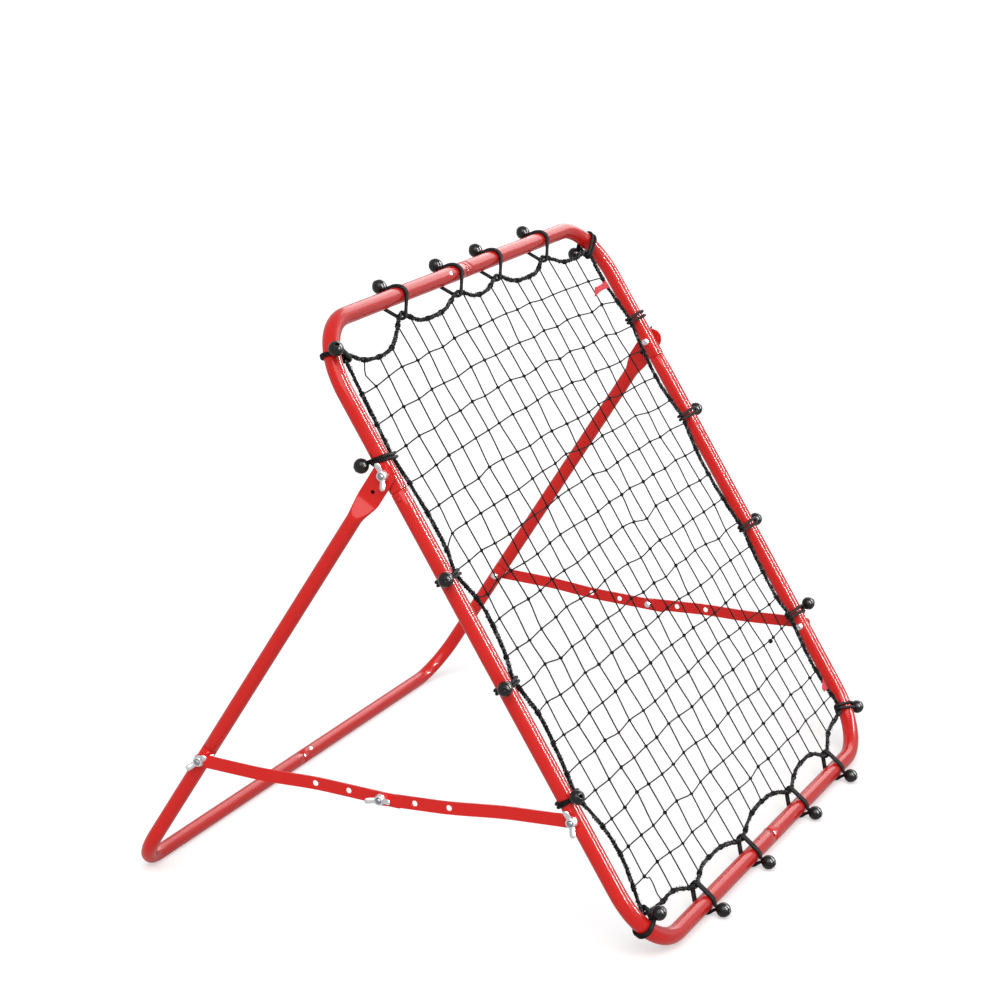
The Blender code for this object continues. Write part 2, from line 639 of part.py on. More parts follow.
def net_body(bm, route):
    """Square mesh of knotted twine, all one piece; its ends stop at the rope."""
    half = NET_TWINE / 2
    across = 2 * HALF_W - ROPE_SLACK["left"] - ROPE_SLACK["right"]
    tall = HEIGHT - ROPE_SLACK["top"] - ROPE_SLACK["bottom"]
    left = ROPE_SLACK["left"] - HALF_W
    counts = range(1, NET_GAPS)
    xs = [left + across * count / NET_GAPS for count in counts]
    ups = [ROPE_SLACK["bottom"] + tall * count / NET_GAPS for count in counts]
    last = len(xs) - 1
    knots = {}

    def twine(start, end):
        """Four sides between two edges, each given as its back pair and its front pair."""
        back_a, back_b, front_b, front_a = start
        back_c, back_d, front_d, front_c = end
        bm.faces.new((back_a, back_b, back_d, back_c))
        bm.faces.new((front_a, front_b, front_d, front_c))
        bm.faces.new((back_a, front_a, front_c, back_c))
        bm.faces.new((back_b, front_b, front_d, back_d))

    def edge(knot, first, second):
        back, front = knot
        return back[first], back[second], front[second], front[first]

    def free_end(x, up, axis):
        shift = ((0, half), (half, 0))[axis]
        back_a, back_b, front_a, front_b = [
            bm.verts.new(net_point(x + shift[0] * sign, up + shift[1] * sign, out))
            for out in (-half, half) for sign in (-1, 1)]
        bm.faces.new((back_a, back_b, front_b, front_a))
        return back_a, back_b, front_b, front_a

    for column, x in enumerate(xs):
        for row, up in enumerate(ups):
            knots[column, row] = [[bm.verts.new(net_point(x + dx, up + du, out))
                                   for dx, du in ((-half, -half), (half, -half),
                                                  (half, half), (-half, half))]
                                  for out in (-half, half)]
            for level in knots[column, row]:
                bm.faces.new(level)
    for column in range(last + 1):
        for row in range(last + 1):
            if column < last:
                twine(edge(knots[column, row], 1, 2), edge(knots[column + 1, row], 0, 3))
            if row < last:
                twine(edge(knots[column, row], 3, 2), edge(knots[column, row + 1], 0, 1))
    for column, x in enumerate(xs):
        for far, row, first, second in ((False, 0, 0, 1), (True, last, 3, 2)):
            tied = beside_loops(x, 0, far)
            end = free_end(tied, rope_crossing(route, 0, tied, far), 1)
            twine(edge(knots[column, row], first, second), end)
    for row, up in enumerate(ups):
        for far, column, first, second in ((False, 0, 0, 3), (True, last, 1, 2)):
            tied = beside_loops(up, 1, far)
            end = free_end(rope_crossing(route, 1, tied, far), tied, 0)
            twine(edge(knots[column, row], first, second), end)


def rope_body(bm, route):
    rings = []
    sides = 5
    radius = ROPE / 2 * math.cos(math.pi / sides)
    for step, (x, up) in enumerate(route):
        heading = (route[(step + 1) % len(route)] - route[step - 1]).normalized()
        direction = ACROSS * heading.x + SLOPE * heading.y
        matrix = Matrix.Translation(net_point(x, up)) @ turn_to(direction, FRONT)
        rings.append(ring(bm, matrix, radius, radius, sides))
    join_rings(bm, rings, closed=True)


def tab_body(bm, route):
    """A ribbon tab that hangs from the right-hand rope over the front of the net."""
    out = ROPE / 2 + TOUCH
    plane = Matrix((ACROSS, SLOPE, FRONT)).transposed().to_4x4()
    up = HEIGHT - TAB_BELOW_TOP
    rope_x = rope_crossing(route, 1, up, far=True) + ROPE / 2 + TOUCH
    matrix = (Matrix.Translation(net_point(rope_x, up)) @ plane
              @ Matrix.Rotation(TAB_TURN, 4, "Z"))
    box(bm, matrix, (-TAB_LENGTH, -TAB_WIDTH / 2, out), (ROPE / 2, TAB_WIDTH / 2,
                                                         out + TAB_THICKNESS))


# Front frame and rear stand
tubes = {}
for hand, side in SIDES.items():
    for level in ("upper", "lower"):
        tubes[level, hand] = net_frame_tube(f"net_frame_{level}_{hand}", side, level == "upper")
    tubes["leg", hand] = rear_leg(f"rear_leg_{hand}", side)
    tubes["base", hand] = rear_base(f"rear_base_{hand}", side)
stand = [tubes[kind, hand] for kind in ("leg", "base") for hand in SIDES]

# Link straps, bolts and wing nuts: each bolt's place, where it starts, and its nut's seat
inner_face = FRAME_WIDTH / 2 - FRAME_TUBE - TOUCH
bolts = {
    "pivot": (PIVOT, inner_face, TONGUE_SIDE + TONGUE_THICKNESS + TOUCH, (0, 0.26, 0.96)),
    "frame_link": (FRAME_BOLT_AT, inner_face, FRAME_SIDE + LINK_THICKNESS + TOUCH,
                   (0, 0.35, 0.94)),
    "leg_link": (LEG_BOLT_AT, LEG_X - LEG_R - TOUCH, LEG_SIDE + LINK_THICKNESS + TOUCH,
                 (0, 0.79, -0.61)),
    "mid": (MID_BOLT_AT, REAR_LINK_MID - TOUCH, FRONT_LINK_MID + LINK_THICKNESS + TOUCH,
            (0, 1.0, -0.1)),
}
nut_mesh = wing_nut_mesh()
for hand, side in SIDES.items():
    rear_link = strap(f"rear_link_{hand}", side, LEG_BOLT_AT, LEG_SIDE, REAR_LINK_MID,
                      REAR_LINK_BEYOND)
    front_link = strap(f"front_link_{hand}", side, FRAME_BOLT_AT, FRAME_SIDE, FRONT_LINK_MID,
                       FRONT_LINK_BEYOND)
    made = {}
    for kind, (at, start, nut_base, wings) in bolts.items():
        tip = nut_base + NUT_HEIGHT + BOLT_PAST_NUT
        if kind == "mid":
            tip = REAR_LINK_MID + LINK_THICKNESS
        made[kind] = bolt(f"{kind}_bolt_{hand}", side, at, start, tip)
        wing_nut(f"{kind}_wing_nut_{hand}", nut_mesh, side, at, nut_base, Vector(wings))
    # The middle bolt is in two, so that each half can ride on its own strap
    mid_seat = bolts["mid"][2]
    mid_stud = bolt(f"mid_stud_{hand}", side, MID_BOLT_AT, FRONT_LINK_MID,
                    mid_seat + NUT_HEIGHT + BOLT_PAST_NUT, head=False)
    stand.append(made["leg_link"])
    hang_on_axis(f"rear_link_{hand}_axis", LEG_BOLT_AT + ACROSS * LEG_SIDE * side,
                 [rear_link, made["mid"]])
    hang_on_axis(f"front_link_{hand}_axis", FRAME_BOLT_AT + ACROSS * FRAME_SIDE * side,
                 [front_link, mid_stud])
hang_on_axis("stand_axis", PIVOT, stand)

# Spring buttons: where each is, the way it points, the way its spring runs, what it locks
base_out = Vector((0, -math.sin(math.pi / 6), math.cos(math.pi / 6)))
bottom_out = SLOPE * math.cos(math.pi / 6) - FRONT * math.sin(math.pi / 6)
leg_out = ACROSS * math.cos(math.pi / 3) + LEG_FRONT * math.sin(math.pi / 3)
side_at = net_point(HALF_W, SIDE_SEAM_UP - SIDE_BUTTON_FROM_SEAM)
leg_at = FOOT + LEG_UP * (LEG_SEAM_UP - LEG_BUTTON_FROM_SEAM) + ACROSS * LEG_X
buttons = {
    "top": (net_point(TOP_SEAM_X - TOP_BUTTON_FROM_SEAM, HEIGHT), FRONT, ACROSS, TUBE_R, 1,
            [tubes["upper", hand] for hand in SIDES]),
    "bottom": (net_point(BOTTOM_SEAM_X + BOTTOM_BUTTON_FROM_SEAM, 0), bottom_out, ACROSS,
               TUBE_R, 1, [tubes["lower", hand] for hand in SIDES]),
    "base": (FOOT + ACROSS * BASE_BUTTON_FROM_SEAM, base_out, ACROSS, LEG_R, 1,
             [tubes["base", hand] for hand in SIDES]),
}
for hand, side in SIDES.items():
    buttons["side_" + hand] = (side_at, ACROSS, -SLOPE, TUBE_R, side,
                               [tubes["upper", hand], tubes["lower", hand]])
    buttons["leg_" + hand] = (leg_at, leg_out, LEG_UP, LEG_R, side,
                              [tubes["leg", hand], tubes["base", hand]])
for place, details in buttons.items():
    snap_button("snap_button_" + place, *details)

# Net, border rope and ribbon tab
loops = loops_round()
route = rope_route([(where, place) for name, where, place in loops])
for name, draw, material in (("net", net_body, BLACK_TWINE),
                             ("net_border_rope", rope_body, BLACK_TWINE),
                             ("net_marker_tab", tab_body, RED_RIBBON)):
    drawn = bmesh.new()
    draw(drawn, route)
    add_object(name, drawn, material)

# Elastic loops with their balls
for name, where, place in loops:
    ball_bungee("ball_bungee_" + name, place)
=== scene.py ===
"""Rebound net: the finished look of every piece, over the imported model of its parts.

Metres, +Z up. The net leans back over +Y and the player stands at -Y; left is -X.
"""
import json
import math
import random

import bmesh
import bpy
from mathutils import Matrix, Vector

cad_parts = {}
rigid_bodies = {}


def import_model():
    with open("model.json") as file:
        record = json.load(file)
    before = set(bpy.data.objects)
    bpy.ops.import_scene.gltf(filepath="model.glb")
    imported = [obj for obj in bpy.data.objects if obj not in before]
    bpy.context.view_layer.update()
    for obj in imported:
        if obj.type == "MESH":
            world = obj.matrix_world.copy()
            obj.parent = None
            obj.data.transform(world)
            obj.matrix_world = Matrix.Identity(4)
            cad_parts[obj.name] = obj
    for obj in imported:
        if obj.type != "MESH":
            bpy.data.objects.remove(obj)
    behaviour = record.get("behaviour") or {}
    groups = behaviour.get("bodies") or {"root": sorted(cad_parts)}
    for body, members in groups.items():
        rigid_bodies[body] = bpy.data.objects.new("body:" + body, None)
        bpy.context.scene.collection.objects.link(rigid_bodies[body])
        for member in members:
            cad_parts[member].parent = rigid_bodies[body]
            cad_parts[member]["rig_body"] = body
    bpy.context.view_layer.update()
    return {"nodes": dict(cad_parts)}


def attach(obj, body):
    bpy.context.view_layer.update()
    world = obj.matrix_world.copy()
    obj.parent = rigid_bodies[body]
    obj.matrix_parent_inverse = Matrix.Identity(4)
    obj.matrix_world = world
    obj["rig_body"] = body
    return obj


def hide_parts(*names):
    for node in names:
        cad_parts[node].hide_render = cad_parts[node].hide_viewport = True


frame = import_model()

# Camera
# Stands to the left of the net, above it, and looks across it with a long lens.
CAMERA_AT = Vector((-3.92067685, -1.65635369, 1.65723624))
IMAGE_RIGHT = Vector((0.40716873, -0.91316492, 0.01853271))
IMAGE_DOWN = Vector((-0.2328861, -0.12341839, -0.96464085))
LOOKING = Vector((0.88316346, 0.38845558, -0.26291553))


def in_scene(name, data):
    """A new object in the scene, made of a mesh, a curve, a lamp or a camera."""
    made = bpy.data.objects.new(name, data)
    bpy.context.collection.objects.link(made)
    return made


lens = bpy.data.cameras.new("camera")
lens.sensor_width = 36
lens.lens = 104.36
lens.clip_end = 200
camera = in_scene("camera", lens)
turned = Matrix((IMAGE_RIGHT, -IMAGE_DOWN, -LOOKING)).transposed().to_4x4()
camera.matrix_world = Matrix.Translation(CAMERA_AT) @ turned
bpy.context.scene.camera = camera
bpy.context.scene.view_settings.view_transform = "Standard"


# Front frame
# Four bent steel tubes, powder coated red. At each seam one tube is drawn down to a spigot
# that slides into the other, and bolts and buttons pass through holes in their walls.
TUBE_R = 0.0125
TUBE_WALL = 0.0012
SPIGOT_FIT = 0.0004
SPIGOT_LENGTH = 0.070
SHOULDER = 0.0009              # from the full width to the spigot
SEAM_GAP = 0.0012
HALF_W = 0.4875                # middle of the frame to a side tube's centre line
HEIGHT = 0.975                 # bottom tube's centre line to the top one's
FRAME_BEND = 0.100
FRAME_BASE = Vector((0, -0.3859141, 0.0185619))
FRAME_TILT = math.radians(57.4)
SLOPE = Vector((0, math.cos(FRAME_TILT), math.sin(FRAME_TILT)))
FRONT = Vector((0, -math.sin(FRAME_TILT), math.cos(FRAME_TILT)))
ACROSS = Vector((1, 0, 0))
SIDES = {"left": -1, "right": 1}
SEAM_X = {"upper": -0.003, "lower": 0.001}
SEAM_UP = 0.724
PIVOT_UP = 0.753
FRAME_BOLT_UP = 0.2165
BOLT_HOLE = 0.0043             # radius
BUTTON_HOLE = 0.00415          # radius
TOP_BUTTON_X = -0.059
BOTTOM_BUTTON_X = 0.017
SIDE_BUTTON_UP = 0.714
BOTTOM_BUTTON_OUT = SLOPE * math.cos(math.pi / 6) - FRONT * math.sin(math.pi / 6)
PRESSED_RING = 0.011           # from the seam to a shallow ring pressed into the top tube
RING_DEPTH = 0.0003
MOUTH = 0.0004                 # rounding of a tube's mouth
RUBBED_REACH = 0.016           # from a mouth or bolt to where the coat is whole
CUT = 0.03                     # from a tube's middle to well outside it
HOLE_SIDES = 28
ROUND_SIDES = 40
BEND_STEPS = 18
STATION_PITCH = 0.022          # between cross-sections on a straight run


class Value:
    """A shader value, so that the maths on it reads as an expression."""

    def __init__(self, finish, socket):
        self.finish = finish
        self.socket = socket

    def maths(self, operation, *terms):
        return self.finish.node("Math", {"operation": operation}, dict(enumerate(terms)))

    def __add__(self, other):
        return self.maths("ADD", self, other)

    def __sub__(self, other):
        return self.maths("SUBTRACT", self, other)

    def __rsub__(self, other):
        return self.maths("SUBTRACT", other, self)

    def __mul__(self, other):
        return self.maths("MULTIPLY", self, other)

    __radd__ = __add__
    __rmul__ = __mul__

    def sine(self):
        return self.maths("SINE", self)

    def above(self, level):
        return self.maths("GREATER_THAN", self, level)


class Finish:
    """One of the object's finishes: a shader with its fixed values, and what varies over it."""

    def __init__(self, name, fixed=None):
        self.material = bpy.data.materials.new(name)
        self.material.use_nodes = True
        self.tree = self.material.node_tree
        self.shader = self.tree.nodes["Principled BSDF"]
        for key, value in (fixed or {}).items():
            self.shader.inputs[key].default_value = value

    def node(self, kind, settings=None, inputs=None, output=0):
        made = self.tree.nodes.new("ShaderNode" + kind)
        for key, value in (settings or {}).items():
            setattr(made, key, value)
        for key, value in (inputs or {}).items():
            self.feed(made.inputs[key], value)
        return Value(self, made.outputs[output])

    def feed(self, socket, value):
        if isinstance(value, Value):
            self.tree.links.new(value.socket, socket)
        else:
            socket.default_value = value

    def noise(self, scale, detail=3.0):
        return self.node("TexNoise", None, {"Vector": self.node("TexCoord", output="Object"),
                                            "Scale": scale, "Detail": detail})

    def lay(self, part):
        """How far round (0) or along (1) a cord or ribbon, from its UV map."""
        return self.node("SeparateXYZ", None, {0: self.node("TexCoord", output="UV")}, part)

    def blend(self, share, first, second):
        return self.node("Mix", {"data_type": "RGBA"}, {0: share, 6: first, 7: second}, 2)

    def bump(self, height, depth, strength):
        return self.node("Bump", None, {"Height": height, "Distance": depth,
                                        "Strength": strength})

    def set(self, **varying):
        for key, value in varying.items():
            self.feed(self.shader.inputs[key.replace("_", " ").title()], value)
        return self.material


paint = Finish("red_powder_coat", {"Specular IOR Level": 0.1, "Coat Weight": 0.35,
                                   "Coat Roughness": 0.06})
bare = (paint.noise(310.0, 4.0) * 0.55 + paint.node("Attribute", {"attribute_name": "rubbed"},
                                                    output="Fac") * 0.45).above(0.66)
tone = paint.blend(paint.noise(7.0), (0.66, 0.014, 0.011, 1), (0.59, 0.012, 0.009, 1))
RED_PAINT = paint.set(
    base_color=paint.blend(bare, tone, (0.23, 0.10, 0.09, 1)),
    roughness=paint.noise(38.0) * 0.14 + 0.24 + bare * 0.2)


def net_point(x, up, out=0.0):
    """A point across, up the slope, and out from the frame's middle plane to the player."""
    return FRAME_BASE + ACROSS * x + SLOPE * up + FRONT * out


def turn_to(direction, beside):
    """Rotation that carries Z to a direction and keeps X as near as it can to another."""
    z = direction.normalized()
    x = (beside - z * beside.dot(z)).normalized()
    return Matrix((x, z.cross(x), z)).transposed().to_4x4()


def placed(at, direction, beside):
    """The same turn, moved to a point."""
    return Matrix.Translation(at) @ turn_to(direction, beside)


def section(place, half_x, half_y=None, square=1.0):
    """One cross-section; square above 1 flattens the ellipse's long sides."""
    return place, half_x, half_x if half_y is None else half_y, square


def draw_through(bm, sections, sides=ROUND_SIDES, closed=False, capped=False):
    """Extrude a circle from section to section, as a tube is drawn through dies."""
    loop = bmesh.ops.create_circle(bm, segments=sides, radius=1.0)["verts"]
    first, unit = loop, [vert.co.copy() for vert in loop]
    for number, (place, half_x, half_y, square) in enumerate(
            sections + (sections[:1] if closed else [])):
        if number:
            edges = [bm.edges.get(pair) for pair in zip(loop, loop[1:] + loop[:1])]
            grown = set(bmesh.ops.extrude_edge_only(bm, edges=edges)["geom"])
            loop = [next(edge.other_vert(vert) for edge in vert.link_edges
                         if edge.other_vert(vert) in grown) for vert in loop]
        for vert, spot in zip(loop, unit):
            height = max(-1.0, min(1.0, spot.y * square))
            vert.co = place @ Vector((half_x * spot.x, half_y * height, 0))
    if capped:
        for end in (first, loop):
            bmesh.ops.contextual_create(
                bm, geom=[bm.edges.get(pair) for pair in zip(end, end[1:] + end[:1])])


def finish_mesh(mesh, sharp=38):
    mesh.shade_smooth()
    mesh.set_sharp_from_angle(angle=math.radians(sharp))


def add_piece(name, bm, material, side=1, sharp=38):
    """Make a piece of what was drawn for the right side, mirrored for the left one."""
    if side < 0:
        bmesh.ops.scale(bm, vec=(-1, 1, 1), verts=bm.verts)
    bmesh.ops.remove_doubles(bm, verts=bm.verts, dist=1e-6)
    bmesh.ops.recalc_face_normals(bm, faces=bm.faces)
    mesh = bpy.data.meshes.new(name)
    bm.to_mesh(mesh)
    bm.free()
    mesh.materials.append(material)
    finish_mesh(mesh, sharp)
    return in_scene(name, mesh)


def evaluated_mesh(piece):
    """The mesh that a curve or a piece with modifiers comes to."""
    bpy.context.view_layer.update()
    return bpy.data.meshes.new_from_object(
        piece.evaluated_get(bpy.context.evaluated_depsgraph_get()))


def stand_for(piece, node):
    """The piece takes a node's place on its body, and the node is hidden."""
    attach(piece, frame["nodes"][node]["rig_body"])
    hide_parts(node)


def through(bolt):
    """A bolt's hole, right through a tube or a strap."""
    return bolt - ACROSS * CUT, ACROSS, BOLT_HOLE, 2 * CUT


def drill(piece, holes, side, inside=RED_PAINT):
    """Cut round holes: each is a start, a way, a radius and a length."""
    bm = bmesh.new()
    for start, way, radius, length in holes:
        bmesh.ops.create_cone(bm, cap_ends=True, segments=HOLE_SIDES, radius1=radius,
                              radius2=radius, depth=length,
                              matrix=placed(start + way * length / 2, way, SLOPE))
    cutter = add_piece(piece.name + "_holes", bm, inside, side)
    modifier = piece.modifiers.new("holes", "BOOLEAN")
    modifier.object = cutter
    modifier.solver = "EXACT"
    modifier.material_mode = "TRANSFER"
    cut = evaluated_mesh(piece)
    piece.modifiers.clear()
    piece.data = cut
    finish_mesh(cut)
    bpy.data.objects.remove(cutter, do_unlink=True)


def rub(piece, places, side, reach=RUBBED_REACH):
    """Mark how much the coat is rubbed, from 1 at the mouths and bolts to 0 further on."""
    places = [Vector((place.x * side, place.y, place.z)) for place in places]
    layer = piece.data.attributes.new("rubbed", "FLOAT", "POINT")
    layer.data.foreach_set("value", [
        max(0.0, 1 - min((vert.co - place).length for place in places) / reach)
        for vert in piece.data.vertices])


def straight_run(start, end, direction):
    steps = max(1, round((end - start).length / STATION_PITCH))
    return [(start.lerp(end, step / steps), direction) for step in range(steps + 1)]


def bent_run(start, corner, end, bend):
    """Stations along a start, a rounded corner and an end, each a point and a direction."""
    first, last = (corner - start).normalized(), (end - corner).normalized()
    centre = corner - first * bend + last * bend
    stations = straight_run(start, corner - first * bend, first)[:-1]
    for step in range(BEND_STEPS + 1):
        angle = math.pi / 2 * step / BEND_STEPS
        stations.append((centre + (first * math.sin(angle) - last * math.cos(angle)) * bend,
                         first * math.cos(angle) + last * math.sin(angle)))
    return stations + straight_run(corner + last * bend, end, last)[1:]


def drawn_tube(bm, stations, radius, beside, spigot_start, spigot_end, pressed=None):
    """A hollow tube along the stations, with rounded mouths and drawn-down spigots."""
    neck = radius - TUBE_WALL - SPIGOT_FIT
    rows = []
    for (point, direction), outward, spigot in ((stations[0], -1, spigot_start),
                                                (stations[-1], 1, spigot_end)):
        away = direction * outward
        end = [(point - away * MOUTH, direction, radius),
               (point, direction, radius - MOUTH * 0.6)]
        if spigot:
            end += [(point + away * SHOULDER, direction, neck),
                    (point + away * (SPIGOT_LENGTH - 0.002), direction, neck),
                    (point + away * SPIGOT_LENGTH, direction, neck - MOUTH)]
        rows.append(end)
    middle = [(point, direction, radius) for point, direction in stations[1:-1]]
    if pressed is not None:
        start, direction = stations[0]
        middle = [(start + direction * (pressed + shift), direction, radius - depth)
                  for shift, depth in ((-0.0010, 0), (-0.0003, RING_DEPTH),
                                       (0.0003, RING_DEPTH), (0.0010, 0))] + middle
    rows = rows[0][::-1] + middle + rows[1]
    outer, inner = [], []
    for point, direction, size in rows:
        place = placed(point, direction, beside)
        outer.append(section(place, size))
        inner.append(section(place, size - TUBE_WALL))
    draw_through(bm, outer + inner[::-1], closed=True)


for hand, side in SIDES.items():
    for part in ("upper", "lower"):
        top = part == "upper"
        level = HEIGHT if top else 0.0
        start = net_point(SEAM_X[part] * side + SEAM_GAP / 2, level)
        end = net_point(HALF_W, SEAM_UP + (SEAM_GAP / 2 if top else -SEAM_GAP / 2))
        bm = bmesh.new()
        drawn_tube(bm, bent_run(start, net_point(HALF_W, level), end, FRAME_BEND), TUBE_R,
                   FRONT, (side > 0) == top, top, PRESSED_RING if top and side > 0 else None)
        tube = add_piece(f"frame_tube_{part}_{hand}", bm, RED_PAINT, side)
        bolt = net_point(HALF_W, PIVOT_UP if top else FRAME_BOLT_UP)
        button, outward = ((TOP_BUTTON_X, FRONT) if top
                           else (BOTTOM_BUTTON_X, BOTTOM_BUTTON_OUT))
        drill(tube, [through(bolt),
                     (net_point(HALF_W, SIDE_BUTTON_UP), ACROSS, BUTTON_HOLE, CUT),
                     (net_point(button * side, level), outward, BUTTON_HOLE, CUT)], side)
        rub(tube, (start, end, bolt), side)
        stand_for(tube, f"net_frame_{part}_{hand}")


# Rear stand
# Two straight legs, each with its top pressed flat into a tongue that hangs on the pivot
# bolt, and two bent floor tubes with the legs in their upright ends. Red powder coat.
LEG_R = 0.011
LEG_BEND = 0.070
LEG_TILT = math.radians(58.4)
LEG_UP = Vector((0, -math.cos(LEG_TILT), math.sin(LEG_TILT)))
LEG_FRONT = Vector((0, -math.sin(LEG_TILT), -math.cos(LEG_TILT)))
LEG_X = 0.5128
LEG_SEAM_UP = 0.246
LEG_BUTTON_UP = 0.2375
PIVOT = Vector((0, 0.0197803, 0.6529286))
FOOT = Vector((0, 0.4146974, 0.011))
LEG_BOLT = Vector((0, 0.2968006, 0.2026386))
TONGUE_THICKNESS = 0.003
TONGUE_FLAT = 0.040
TONGUE_TAPER = 0.036
TAPER_STEPS = 9
TONGUE_HOLE = 0.003            # radius
TONGUE_HOLE_DOWN = 0.030
TONGUE_CUT = 0.01              # how far from the tongue its holes' cuts start
BLIND = 0.4                    # depth of the spare hole from each face, share of the tongue
SQUARE = 3.2                   # how flat the tongue's faces are, as section() takes it
LEG_MOUTH = 0.0003             # rounding of the leg at its seam
BASE_BUTTON_X = 0.030
BASE_OUT = Vector((0, -math.sin(math.pi / 6), math.cos(math.pi / 6)))
LEG_BUTTON_OUT = ACROSS * math.cos(math.pi / 3) + LEG_FRONT * math.sin(math.pi / 3)
DRAIN_X = 0.385
DRAIN_HOLE = 0.004             # radius
DRAIN_WAY = Vector((0, -0.60, -0.80))
END_TURNS = [math.radians(degrees) for degrees in (0, 15, 30, 45, 58, 69, 78, 85)]

# Painted shade: a near-black finish for the walls and floor of the tongue's blind spare hole,
# standing in for the shade in the recess.
SHADE_IN_SPARE_HOLE = Finish("inside_the_fold", {"Roughness": 1.0, "Specular IOR Level": 0.0}).set(
    base_color=(0.02, 0.006, 0.006, 1))


def eased(share):
    """A smooth step from 0 to 1."""
    return share * share * (3 - 2 * share)


def leg_with_tongue(bm):
    """From the spigot in the floor tube up to the round end of the pressed tongue."""
    pivot = PIVOT + ACROSS * LEG_X
    seam = FOOT + LEG_UP * (LEG_SEAM_UP + SEAM_GAP / 2) + ACROSS * LEG_X
    taper_foot = pivot - LEG_UP * (TONGUE_FLAT + TONGUE_TAPER)
    neck = LEG_R - TUBE_WALL - SPIGOT_FIT
    half_width = math.pi * LEG_R / 2
    half_depth = TONGUE_THICKNESS / 2
    inward = LEG_R - half_depth
    turned = turn_to(LEG_UP, LEG_FRONT)

    def pressed(point, width, depth, shift=0.0, square=1.0):
        place = Matrix.Translation(point - ACROSS * shift) @ turned
        return section(place, width, depth, square)

    def flat(point, wide=1.0, thin=1.0):
        return pressed(point, half_width * wide, half_depth * thin, inward, SQUARE)

    rings = [pressed(seam - LEG_UP * SPIGOT_LENGTH, neck, neck),
             pressed(seam - LEG_UP * SHOULDER, neck, neck),
             pressed(seam, LEG_R - LEG_MOUTH, LEG_R - LEG_MOUTH)]
    rings += [pressed(point, LEG_R, LEG_R)
              for point, _ in straight_run(seam + LEG_UP * 0.0005, taper_foot, LEG_UP)]
    for step in range(1, TAPER_STEPS):
        press = eased(step / TAPER_STEPS)
        rings.append(pressed(taper_foot + LEG_UP * TONGUE_TAPER * (step / TAPER_STEPS),
                             LEG_R + (half_width - LEG_R) * press,
                             LEG_R + (half_depth - LEG_R) * press, inward * press,
                             1 + (SQUARE - 1) * press))
    rings += [flat(pivot - LEG_UP * down) for down in (TONGUE_FLAT, 0.028, 0.014)]
    rings += [flat(pivot + LEG_UP * half_width * math.sin(turn), math.cos(turn),
                   1 - 0.35 * (turn / END_TURNS[-1]) ** 4) for turn in END_TURNS]
    draw_through(bm, rings, capped=True)


for hand, side in SIDES.items():
    bm = bmesh.new()
    leg_with_tongue(bm)
    leg = add_piece("stand_leg_" + hand, bm, RED_PAINT, side)
    pivot = PIVOT + ACROSS * (LEG_X - LEG_R)
    bolt = LEG_BOLT + ACROSS * LEG_X
    seam = FOOT + LEG_UP * LEG_SEAM_UP + ACROSS * LEG_X
    drill(leg, [(pivot - ACROSS * TONGUE_CUT, ACROSS, BOLT_HOLE, CUT), through(bolt)], side)
    spare = pivot - LEG_UP * TONGUE_HOLE_DOWN + ACROSS * TONGUE_THICKNESS / 2
    # The spare hole is blind from each face, and its walls and floor take the painted shade
    # finish.
    drill(leg, [(spare + way * (TONGUE_CUT + TONGUE_THICKNESS / 2), -way, TONGUE_HOLE,
                 TONGUE_CUT + TONGUE_THICKNESS * BLIND) for way in (ACROSS, -ACROSS)],
          side, SHADE_IN_SPARE_HOLE)
    rub(leg, (pivot, seam, bolt), side)
    stand_for(leg, "rear_leg_" + hand)

    corner = FOOT + ACROSS * LEG_X
    bm = bmesh.new()
    drawn_tube(bm, bent_run(FOOT + ACROSS * SEAM_GAP / 2, corner,
                            corner + LEG_UP * (LEG_SEAM_UP - SEAM_GAP / 2), LEG_BEND),
               LEG_R, LEG_FRONT, side < 0, False)
    base = add_piece("stand_floor_tube_" + hand, bm, RED_PAINT, side)
    drill(base, [through(bolt),
                 (FOOT + LEG_UP * LEG_BUTTON_UP + ACROSS * LEG_X, LEG_BUTTON_OUT, BUTTON_HOLE,
                  CUT),
                 (FOOT + ACROSS * BASE_BUTTON_X * side, BASE_OUT, BUTTON_HOLE, CUT),
                 (FOOT + ACROSS * DRAIN_X, DRAIN_WAY, DRAIN_HOLE, CUT)], side)
    rub(base, (FOOT, seam, bolt), side)
    stand_for(base, "rear_base_" + hand)


# Link straps
# Flat red steel bars with round ends and a row of holes. The rear ones are bolted to the
# legs, the front ones to the frame, and the two of a side meet at the middle bolt.
LINK_WIDTH = 0.019
LINK_THICKNESS = 0.0025
LINK_LENGTH = 0.2833063
LINK_FLAT_END = 0.085
LINK_FLAT_MID = 0.087
LINK_HOLE_PITCH = 0.052
LINK_HOLES = 3
LINK_EDGE = 0.0004             # rounding of a strap's edges
SLANT_STEPS = 8
REAR_BEYOND = 0.035            # from the middle bolt to a strap's end
FRONT_BEYOND = 0.012
LEG_SIDE = 0.5241
FRAME_SIDE = 0.5003
REAR_LINK_MID = 0.5108
FRONT_LINK_MID = 0.5136
FRAME_BOLT = Vector((0, -0.2692702, 0.2009529))
MID_BOLT = Vector((0, 0.0138020, 0.1894381))


